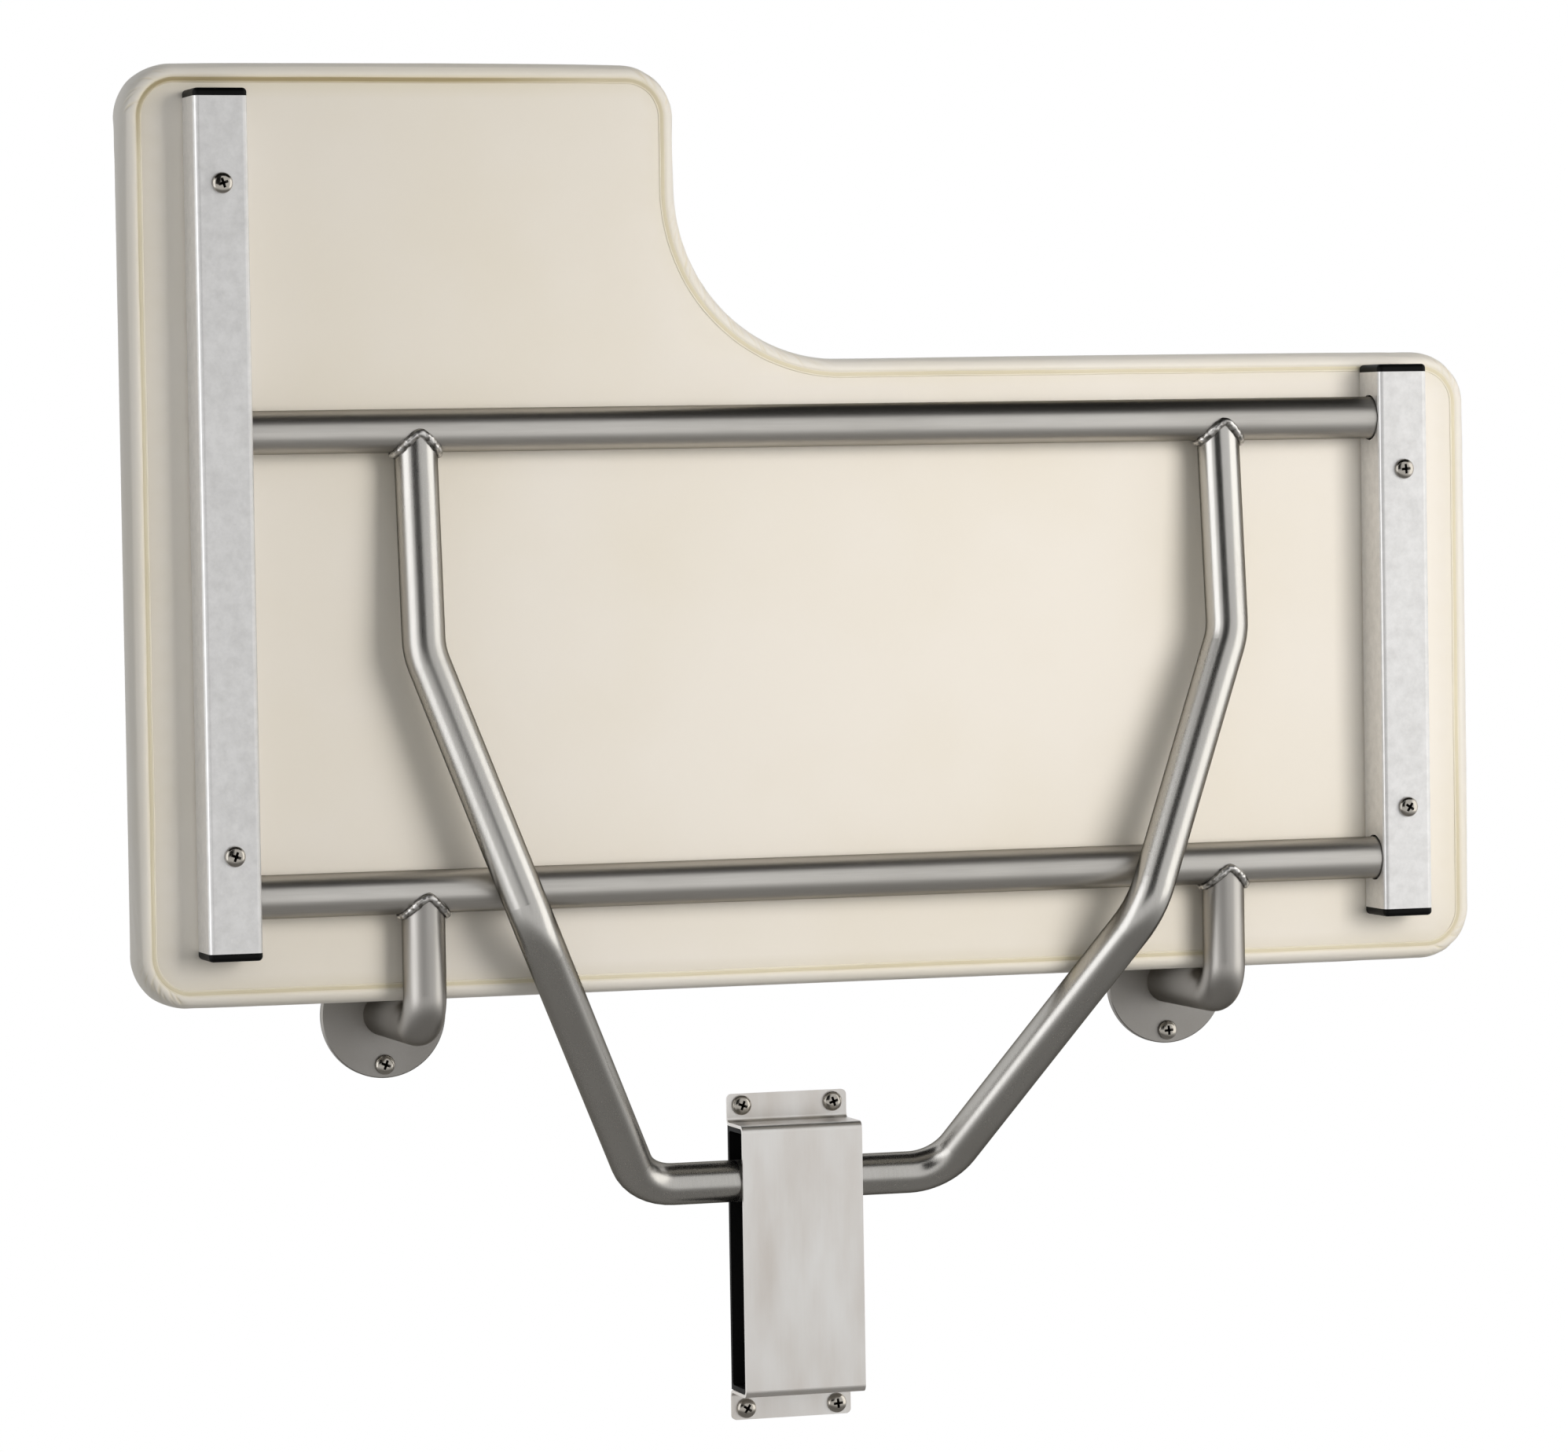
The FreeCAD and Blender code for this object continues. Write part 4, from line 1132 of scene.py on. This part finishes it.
        # How yellowed each piece's seam is away from the upper end, where painted shade takes over
        for piece, least in ((cover, 0.4), (panel, 0.4), (band, 0.15), (ridges, 0.1)):
            self.mark_yellowing_and_shade(piece.data, least)
            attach(piece, Body.SEAT.value)
        for piece, finish in ((cover, "cream_vinyl"), (panel, "underside_vinyl")):
            piece.data.materials.clear()
            piece.data.materials.append(finishes[finish])
        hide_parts("seat_pad")
        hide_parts("underside_cover")
        return [cover, panel, band, ridges]


@dataclass
class PanScrew:
    """A stainless pan head screw with a cross recess and a cut thread."""

    head: float = 0.006
    rise: float = 0.0036
    neck: float = 0.0023
    thread: float = 0.00275
    pitch: float = 0.0018
    recess: float = 0.0058
    slot: float = 0.0015
    sink: float = 0.0024
    sides: int = 40
    # How much of the head's height its rim takes, and how full the dome is
    rim_share: float = 0.3
    fullness: float = 0.85
    flatness: float = 0.9
    root_share: float = 0.8

    def lathe(self, profile: list[tuple[float, float]], name: str) -> Mesh:
        """Turn a profile about the Y axis into a closed mesh.

        Args:
            profile: radius and Y of each point, from one end on the axis to the other.
            name: the mesh's name.

        Returns:
            The mesh.
        """
        work = bmesh.new()
        turns = [math.tau * i / self.sides for i in range(self.sides)]
        rows = [
            [
                work.verts.new((radius * math.cos(turn), y, radius * math.sin(turn)))
                for turn in (turns if radius > 0 else turns[:1])
            ]
            for radius, y in profile
        ]
        join_rows(work, rows)
        return closed_mesh(work, name)

    def dome(self, radius: float) -> float:
        """Give the Y of the head's dome at a radius.

        Args:
            radius: the distance from the screw's axis.

        Returns:
            The Y, which is below zero.
        """
        rim = self.rise * self.rim_share
        turn = math.asin(min(1.0, radius / self.head) ** (1 / self.fullness))
        return -rim - (self.rise - rim) * math.cos(turn) ** self.flatness

    def mark_recess_shade(self, mesh: Mesh) -> None:
        """Store which points lie inside the recess, where painted shade darkens the screw.

        Args:
            mesh: the whole screw.
        """
        values = []
        for vertex in mesh.vertices:
            x, y, z = vertex.co
            radius = math.hypot(x, z)
            # Clearly under the dome, and hardly further out than the cross reaches
            inside = radius < self.recess * 0.7 and 0 > y > self.dome(radius) + 0.2 * MM
            values.append(1.0 if inside else 0.0)
        store_values(mesh, "recess", values)

    def blank(self, neck_length: float, length: float) -> Mesh:
        """Build the screw before its recess is struck.

        Args:
            neck_length: how long it is plain under the head.
            length: how long it is under the head.

        Returns:
            The blank.
        """
        profile = [(0.0, -self.rise)]
        for step in range(1, 13):
            radius = self.head * math.sin(step / 12 * math.pi / 2) ** self.fullness
            profile.append((radius, self.dome(radius)))
        # The head is drawn in a little towards its flat underside.
        profile += [(self.head - 0.05 * MM, -0.6 * MM), (self.head - 0.75 * MM, 0.0)]
        profile += [(self.neck, 0.0), (self.neck, neck_length)]
        y = neck_length
        root = self.thread * self.root_share
        while y < length - 2.4 * self.thread:
            profile += [(root, y + 0.1 * self.pitch), (self.thread, y + 0.45 * self.pitch)]
            profile += [(self.thread, y + 0.55 * self.pitch), (root, y + 0.9 * self.pitch)]
            y += self.pitch
        profile += [(root, y), (self.thread * 0.55, length - self.thread), (0.0, length)]
        return self.lathe(profile, "screw_blank")

    def cutter(self) -> Mesh:
        """Build the tapered cross that strikes the recess.

        Returns:
            The cross, from above the head down to the recess's floor.
        """
        # The Y of each level, and how much of the recess's reach and width it has
        levels = (
            (-self.rise - 0.8 * MM, 1.12, 1.3),
            (-self.rise + 0.3 * MM, 1.0, 1.0),
            (-self.rise + self.sink, 0.45, 0.65),
        )
        work = bmesh.new()
        rows = []
        for y, reach, width in levels:
            arm, half = self.recess / 2 * reach, self.slot / 2 * width
            quarter = ((half, half), (half, arm), (-half, arm))
            spins = [Matrix.Rotation(turn * math.pi / 2, 2) for turn in range(4)]
            row = [spin @ Vector(spot) for spin in spins for spot in quarter]
            rows.append([work.verts.new((spot.x, y, spot.y)) for spot in row])
        join_rows(work, rows)
        for row in (rows[0], rows[-1]):
            work.faces.new(row)
        return closed_mesh(work, "recess_cutter")

    def build(self, name: str, neck_length: float, length: float) -> Piece:
        """Build one whole screw, to be set at each of its places.

        Args:
            name: the screw's name.
            neck_length: how long it is plain under the head.
            length: how long it is under the head.

        Returns:
            The screw.
        """
        blank = new_piece(f"{name}_blank", self.blank(neck_length, length), smooth=False)
        cutter = new_piece(f"{name}_cutter", self.cutter())
        strike = blank.modifiers.new("recess", "BOOLEAN")
        strike.object = cutter
        strike.operation = "DIFFERENCE"
        strike.solver = "EXACT"
        mesh = plain_mesh(blank)
        bpy.data.objects.remove(blank)
        bpy.data.objects.remove(cutter)
        screw = new_piece(name, mesh)
        # Mark the recess, which is painted dark as shade
        self.mark_recess_shade(mesh)
        mesh.set_sharp_from_angle(angle=Fasteners.SHARP)
        return screw


@dataclass
class Fasteners:
    """All the screws, one piece for each group."""

    # How far the first screw's recess is turned, and each next one further than the last
    first_turn: float = 0.35
    turn: float = 0.9
    flange_face: float = 0.0048
    bolt_circle_radius: float = 0.03
    bolt_angles: tuple = (-90, 30, 150)
    sheet: float = 0.0019
    bracket_x: float = 0.0025
    bracket_reach: float = 0.029
    bracket_heights: tuple = (-0.064663, -0.249763)
    wall_length: float = 0.022
    rail_side: float = 0.03175
    rail_face: float = -0.117475
    rail_x: float = 0.365125
    left_heights: tuple = (0.104, 0.49)
    right_heights: tuple = (0.11, 0.3155)
    rail_length: float = 0.043

    # The least angle between two faces that stays a sharp edge
    SHARP = math.radians(38)

    def flange_spots(self) -> list[tuple[float, float, float]]:
        """Give the places of the screws in both wall flanges.

        Returns:
            X, Y and Z of each, the left flange first.
        """
        angles = [math.radians(angle) for angle in self.bolt_angles]
        radius = self.bolt_circle_radius
        return [
            (x + radius * math.cos(a), -self.flange_face, radius * math.sin(a))
            for x in (-LEG_X, LEG_X) for a in angles
        ]

    def bracket_spots(self) -> list[tuple[float, float, float]]:
        """Give the places of the screws in the bracket's ears."""
        sides = (self.bracket_x - self.bracket_reach, self.bracket_x + self.bracket_reach)
        return [(x, -self.sheet, z) for z in self.bracket_heights for x in sides]

    def rail_spots(self) -> list[tuple[float, float, float]]:
        """Give the places of the screws in both rails."""
        sides = ((-self.rail_x, self.left_heights), (self.rail_x, self.right_heights))
        return [(x, self.rail_face, z) for x, heights in sides for z in heights]

    def build(self, tree: Tree, finish: Material) -> list[Piece]:
        """Set every screw of every group.

        Args:
            tree: the geometry tree that sets screws at points.
            finish: the screws' steel.

        Returns:
            One piece for each group.
        """
        groups = (
            ("flange", Body.WALL, self.flange_face, self.wall_length, self.flange_spots()),
            ("bracket", Body.WALL, self.sheet, self.wall_length, self.bracket_spots()),
            ("rail", Body.SEAT, self.rail_side, self.rail_length, self.rail_spots()),
        )
        pieces = []
        for kind, body, neck_length, length, spots in groups:
            screw = PanScrew().build(f"{kind}_screw", neck_length, length)
            sizes = {"Screw": screw, "First Turn": self.first_turn, "Turn": self.turn,
                     "Material": finish}
            piece = grown(
                f"{kind}_screw_set", listed_mesh(f"{kind}_screw_points", spots), tree, sizes)
            piece.data.set_sharp_from_angle(angle=self.SHARP)
            bpy.data.objects.remove(screw)
            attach(piece, body.value)
            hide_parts(f"{kind}_screws")
            pieces.append(piece)
        return pieces


@dataclass
class WeldBeads:
    """The beads where the legs and the wall arms meet the cross tubes."""

    tube: float = 0.0127
    bead: float = 0.0025
    standoff: float = 0.1016
    front_axis: float = 0.347
    rear_axis: float = 0.079
    leg_shift: float = 0.0258
    leg_reach: float = 0.268
    # How wide the line of painted shade is on the cross tube and on the branch, and how dark on the
    # branch
    tube_toe: float = 0.75 * MM
    branch_toe: float = 0.5 * MM
    branch_shade: float = 0.8

    # Points round one joint
    COUNT = 120

    def paths(self, z: float, lean: float) -> Mesh:
        """Give the closed saddle paths of a left and a right joint.

        Args:
            z: height of the cross tube's axis.
            lean: the branches' lean from the vertical.

        Returns:
            A mesh of closed loops of edges.
        """
        spots, edges = [], []
        # The bead's middle runs just off the branch and off the cross tube.
        inner, outer = self.tube + 0.7 * MM, self.tube + 0.95 * MM
        down = Vector((0.0, -math.sin(lean), -math.cos(lean)))
        across = Vector((1.0, 0.0, 0.0))
        out = down.cross(across)
        for x in (-LEG_X, LEG_X):
            first = len(spots)
            for number in range(self.COUNT):
                turn = math.tau * number / self.COUNT
                rise = math.sqrt(outer ** 2 - (inner * math.sin(turn)) ** 2)
                spot = Vector((x, -self.standoff, z)) + down * rise
                spot += across * inner * math.cos(turn) + out * inner * math.sin(turn)
                spots.append(tuple(spot))
                edges.append((first + number, first + (number + 1) % self.COUNT))
        return listed_mesh("saddle_paths", spots, edges)

    def mark_toe_shade(self, mesh: Mesh, z: float, lean: float) -> None:
        """Store how close each point is to where the bead meets the two tubes, which sets the
        painted shade there.

        Args:
            mesh: the beads.
            z: height of the cross tube's axis.
            lean: the branches' lean from the vertical.
        """
        offset = read_spots(mesh) - np.array([0.0, -self.standoff, z])
        cross = np.hypot(offset[:, 1], offset[:, 2]) - self.tube
        level = offset[:, 1] * math.cos(lean) - offset[:, 2] * math.sin(lean)
        branch = np.hypot(np.abs(offset[:, 0]) - LEG_X, level) - self.tube
        toe = np.exp(-((cross / self.tube_toe) ** 2))
        toe += self.branch_shade * np.exp(-((branch / self.branch_toe) ** 2))
        store_values(mesh, "toe_shade", np.minimum(toe, 1.0))

    def build(self, tree: Tree, finish: Material) -> list[Piece]:
        """Lay the beads of both moving groups.

        Args:
            tree: the geometry tree that lays a bead along a path.
            finish: the weld metal.

        Returns:
            One piece for each group.
        """
        lean = math.asin(self.leg_shift / self.leg_reach)
        groups = (
            ("leg", Body.LEG, self.front_axis, lean),
            ("arm", Body.WALL, self.rear_axis, 0.0),
        )
        sizes = {
            "Radius": self.bead, "Ripple Length": 3.1 * MM, "Ripple": 0.2,
            "Unevenness": 1.7 * MM, "Step": 0.7 * MM, "Material": finish,
        }
        pieces = []
        for branch, body, z, tilt in groups:
            piece = grown(f"{branch}_weld_beads", self.paths(z, tilt), tree, sizes)
            self.mark_toe_shade(piece.data, z, tilt)
            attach(piece, body.value)
            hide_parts(f"left_{branch}_weld", f"right_{branch}_weld")
            pieces.append(piece)
        return pieces


@dataclass
class MetalAndPlastic:
    """The tubes, rails, flanges, bracket, caps and hidden pieces that keep their own shape."""

    # The nodes that keep their own shape, by finish
    FINISHES_OF = {
        "tube_along_x": ("front_pivot_tube", "rear_pivot_tube", "guide_bar"),
        "bent_tube": ("left_leg_tube", "right_leg_tube"),
        "arm_tube": ("left_wall_arm", "right_wall_arm"),
        "rail_steel": ("left_rail", "right_rail"),
        "flange_plate": ("left_wall_flange", "right_wall_flange"),
        "bracket_sheet": ("guide_bracket",),
        "cap_plastic": (
            "left_rail_upper_cap", "left_rail_lower_cap",
            "right_rail_upper_cap", "right_rail_lower_cap",
        ),
        "liner_nylon": (
            "guide_liner", "left_front_pivot_block", "left_rear_pivot_block",
            "right_front_pivot_block", "right_rear_pivot_block",
        ),
        "plywood": ("seat_board",),
        "insert_brass": ("board_inserts",),
    }

    def dress(self, finishes: dict[str, Material]) -> int:
        """Give every kept node its finish.

        Args:
            finishes: finish name to material.

        Returns:
            How many nodes were dressed.
        """
        for finish, names in self.FINISHES_OF.items():
            for name in names:
                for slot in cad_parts[name].material_slots:
                    slot.material = finishes[finish]
        return sum(len(names) for names in self.FINISHES_OF.values())


@dataclass(frozen=True)
class Softbox:
    """A soft lamp: either the light on the seat, or a bright shape that the metal mirrors."""

    name: str
    spot: tuple[float, float, float]
    aim: tuple[float, float, float]
    size: tuple[float, float]
    power: float
    colour: str
    spread: float = 180.0
    lights: bool = True
    mirrored: bool = True

    def hang(self) -> None:
        """Put the lamp in its place."""
        data = bpy.data.lights.new(self.name, "AREA")
        data.shape = "RECTANGLE"
        data.size, data.size_y = self.size
        data.energy = self.power
        data.color = linear(self.colour)[:3]
        data.spread = math.radians(self.spread)
        lamp = bpy.data.objects.new(self.name, data)
        lamp.visible_camera = False
        lamp.visible_diffuse = self.lights
        lamp.visible_glossy = self.mirrored
        towards = (Vector(self.aim) - Vector(self.spot)).to_track_quat("-Z", "Y")
        lamp.matrix_world = Matrix.Translation(self.spot) @ towards.to_matrix().to_4x4()
        bpy.context.scene.collection.objects.link(lamp)


@dataclass
class Studio:
    """The camera at the photograph's angle, a plain pale floor and soft light."""

    # The photograph's width and the camera's focal length in pixels, its place and its axes
    image_width: float = 1995.0
    focal_px: float = 8338.18
    sensor_width: float = 36.0
    spot: tuple = (-1.21859, -3.78887, 0.32556)
    right: tuple = (0.95128335, -0.30791616, -0.01573582)
    up: tuple = (0.02736275, 0.03347869, 0.99906479)
    forward: tuple = (0.30710138, 0.95082428, -0.04027316)
    floor_level: float = -0.95
    floor_radius: float = 14.0
    floor_colour: str = "#ebe9e6"
    # Distances from the origin where the floor starts to turn white and where it is white
    fade_start: float = 1.4
    fade_end: float = 3.2
    card_colour: str = "#1c1b19"
    side_light: float = 0.71
    top_light: float = 0.24
    # The corners of the dark card overhead and of the one by the camera
    cards: tuple = (
        ((-2.2, -1.9, 1.9), (2.2, -1.9, 1.9), (2.2, 1.6, 1.9), (-2.2, 1.6, 1.9)),
        ((-3.4, -4.6, 0.0), (0.0, -4.6, 0.0), (0.0, -4.6, 4.0), (-3.4, -4.6, 4.0)),
    )
    # The first lights the seat and is mirrored nowhere; the others only show in the metal
    softboxes: tuple = (
        Softbox(
            "key_softbox", (0.8, -1.9, 0.5), (0.15, -0.1, 0.2), (1.2, 1.2), 4.0, "#fffaf5",
            spread=58.0, mirrored=False),
        Softbox(
            "right_softbox", (2.5, -1.3, 0.3), (0.0, -0.1, 0.15), (2.0, 2.4), 18.0, "#fffdf8",
            lights=False),
        Softbox(
            "left_softbox", (-2.45, -1.0, 0.3), (0.0, -0.1, 0.15), (1.5, 2.4), 15.5, "#fbfcff",
            lights=False),
    )

    def camera(self) -> None:
        """Set up the camera."""
        data = bpy.data.cameras.new("photo_camera")
        data.sensor_width = self.sensor_width
        data.lens = self.focal_px * self.sensor_width / self.image_width
        data.clip_end = 50.0
        camera = bpy.data.objects.new("photo_camera", data)
        axes = Matrix((self.right, self.up, [-c for c in self.forward])).transposed()
        camera.matrix_world = Matrix.Translation(self.spot) @ axes.to_4x4()
        bpy.context.scene.collection.objects.link(camera)
        bpy.context.scene.camera = camera

    def seen_directly(self, tree: Tree) -> Node:
        """Say which rays see the white background: the camera's, mirrored and clear ones.

        Args:
            tree: the node tree of the floor or the world.

        Returns:
            The node that is one for these rays.
        """
        path = add_node(tree, "ShaderNodeLightPath").outputs
        seen = path["Is Camera Ray"]
        for ray in ("Is Glossy Ray", "Is Transmission Ray"):
            seen = add_node(tree, "ShaderNodeMath", {0: seen, 1: path[ray]}, operation="MAXIMUM")
        return seen

    def floor(self) -> None:
        """Lay the pale floor, which keeps the seat's shadow and turns white further out."""
        sides = 96
        turns = [math.tau * i / sides for i in range(sides)]
        radius, level = self.floor_radius, self.floor_level
        rim = [(radius * math.cos(turn), radius * math.sin(turn), level) for turn in turns]
        mesh = listed_mesh("floor", rim, faces=[tuple(range(sides))])
        floor = new_piece("floor", mesh, smooth=False)
        material, tree = new_material("pale_floor")
        place = add_node(tree, "ShaderNodeTexCoord").outputs["Object"]
        away = add_node(tree, "ShaderNodeVectorMath", {0: place}, operation="LENGTH")
        fade = add_node(
            tree, "ShaderNodeMapRange",
            {"Value": away.outputs["Value"], "From Min": self.fade_start, "From Max": self.fade_end},
            interpolation_type="SMOOTHSTEP")
        share = add_node(
            tree, "ShaderNodeMath", {0: fade, 1: self.seen_directly(tree)}, operation="MULTIPLY")
        matt = add_node(tree, "ShaderNodeBsdfDiffuse", {"Color": linear(self.floor_colour)})
        white = add_node(tree, "ShaderNodeEmission", {"Color": WHITE, "Strength": 1.0})
        both = add_node(tree, "ShaderNodeMixShader", {0: share, 1: matt, 2: white})
        add_node(tree, "ShaderNodeOutputMaterial", {"Surface": both})
        mesh.materials.append(material)

    def flags(self) -> None:
        """Hang the dark cards that keep the room out of the metal: overhead, and by the camera."""
        corners = [corner for card in self.cards for corner in card]
        faces = [tuple(range(i, i + 4)) for i in range(0, len(corners), 4)]
        mesh = listed_mesh("flags", corners, faces=faces)
        flags = new_piece("flags", mesh, smooth=False)
        material, tree = new_material("black_felt")
        felt = add_node(
            tree, "ShaderNodeEmission", {"Color": linear(self.card_colour), "Strength": 1.0})
        add_node(tree, "ShaderNodeOutputMaterial", {"Surface": felt})
        mesh.materials.append(material)
        flags.visible_camera = False
        flags.visible_diffuse = False
        flags.visible_shadow = False

    def world(self) -> None:
        """Surround the seat with white, and light it softly and more from the sides than above."""
        world = bpy.data.worlds.new("studio")
        bpy.context.scene.world = world
        world.use_nodes = True
        tree = world.node_tree
        tree.nodes.clear()
        towards = add_node(tree, "ShaderNodeTexCoord").outputs["Generated"]
        height = add_node(tree, "ShaderNodeSeparateXYZ", {0: towards}).outputs["Z"]
        glow = add_node(tree, "ShaderNodeMapRange", {
            "Value": height, "From Min": 0.0, "From Max": 0.7,
            "To Min": self.side_light, "To Max": self.top_light})
        soft = add_node(tree, "ShaderNodeBackground", {"Color": WHITE, "Strength": glow})
        white = add_node(tree, "ShaderNodeBackground", {"Color": WHITE, "Strength": 1.0})
        last = add_node(
            tree, "ShaderNodeMixShader", {0: self.seen_directly(tree), 1: soft, 2: white})
        add_node(tree, "ShaderNodeOutputWorld", {"Surface": last})

    def build(self) -> None:
        """Set up the whole studio."""
        self.camera()
        self.floor()
        self.flags()
        self.world()
        for softbox in self.softboxes:
            softbox.hang()
        bpy.context.scene.view_settings.view_transform = "Standard"


def make_finishes() -> dict[str, Material]:
    """Make every finish of the seat.

    Returns:
        Finish name to material.
    """
    finishes = {
        # Stainless tube cleaned to a satin: soft long streaks of light, darker at its rims
        "tube_along_x": SteelFinish(
            "satin_tube_steel", "#c6c3be", 0.37, Grain.ALONG_X, rim="#8e8b85"),
        # The same tube drawn smoother where it was bent: brighter streaks, nearly black between
        "bent_tube": SteelFinish(
            "satin_leg_steel", "#b6b4b0", 0.27, Grain.ALONG_Z, rim="#7c7a75"),
        # The same tube in the wall arms, under the pad: an even mid grey
        "arm_tube": SteelFinish(
            "satin_arm_steel", "#a8a5a1", 0.36, Grain.ALONG_Z, rim="#8e8b85"),
        # Square stainless tube with a fine frosted grain: pale faces, a bright line on each edge
        "rail_steel": SteelFinish(
            "satin_rail_steel", "#e6e5e4", 0.5, Grain.ROUND, grit_mm=1.6, cloud_mm=6.0,
            tint="#b4b3b1", mottle=0.24, edge_roughness=0.34),
        # Stainless plate, faced and dulled: a flat grey that hardly mirrors
        "flange_plate": SteelFinish(
            "turned_flange_steel", "#96938f", 0.45, Grain.ROUND, cloud_mm=30.0),
        # Brushed stainless sheet: upright streaks, faintly warm where it was handled
        "bracket_sheet": SteelFinish(
            "brushed_sheet_steel", "#dddbd8", 0.4, Grain.ALONG_Z, grit_mm=1.2, cloud_mm=24.0,
            tint="#b9a898", scratched=0.1),
        # Passivated stainless screws: small sharp glints on the heads, painted dark shade in the
        # recess
        "screw_steel": SteelFinish(
            "passivated_screw_steel", "#a8a39b", 0.17, Grain.ROUND, shaded_recess=True),
        # Weld metal laid by hand: bright uneven lumps with a line of painted black shade along both
        # edges
        "weld_metal": WeldFinish("weld_bead", "#c9c7c4"),
        # Moulded polyethylene: nearly black, with a weak soft shine
        "cap_plastic": MouldedFinish("black_polyethylene", "#020202", 0.5, shine=0.12),
        # Cast nylon, for the liner and the blocks: black and matt
        "liner_nylon": MouldedFinish("black_nylon", "#030303", 0.6, shine=0.15),
        # Embossed PVC over the foam: warm white with a fine grain, yellowed near the seam, with
        # painted shade at the upper end and in the creases
        "cream_vinyl": VinylFinish("cream_upholstery_vinyl", "#f2eee5", "#e6dbba"),
        # The same PVC stretched flat under the seat: a coarser and shallower grain
        "underside_vinyl": VinylFinish(
            "cream_underside_vinyl", "#f0ebe1", "#e2d8ba", grain_mm=1.4, depth_mm=0.02),
        # The welt's plain PVC, which yellows most: a thin ochre line, turned tan with painted shade
        # along the pad's upper end
        "welt_vinyl": VinylFinish("yellowed_shaded_band_vinyl", "#ebe3c8", "#a8986f"),
        # The welt's rolled edges, paler than its middle, with the same painted shade along the upper
        # end
        "ridge_vinyl": VinylFinish("yellowed_shaded_ridge_vinyl", "#f3eddb", "#bdae88"),
        # Birch plywood inside the pad: pale, with long brown figure
        "plywood": PlywoodFinish("birch_plywood", "#c9a777", "#a5814f"),
        # Turned brass inserts in the board: a warm yellow metal
        "insert_brass": SteelFinish(
            "turned_brass", "#d1ab55", 0.3, Grain.ROUND, tint="#a8843a"),
    }
    return {name: finish.make() for name, finish in finishes.items()}


def main() -> None:
    """Build the seat's pieces in order, dress them and set up the studio."""
    logging.basicConfig(level=logging.INFO)
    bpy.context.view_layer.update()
    finishes = make_finishes()
    beads = bead_tree()
    made = SeatCushion().build(beads, finishes)
    made += Fasteners().build(screw_tree(), finishes["screw_steel"])
    made += WeldBeads().build(beads, finishes["weld_metal"])
    for piece in made:
        LOG.info("%s: %d faces", piece.name, len(piece.data.polygons))
    LOG.info("dressed %d kept nodes", MetalAndPlastic().dress(finishes))
    Studio().build()


if __name__ == "__main__":
    main()
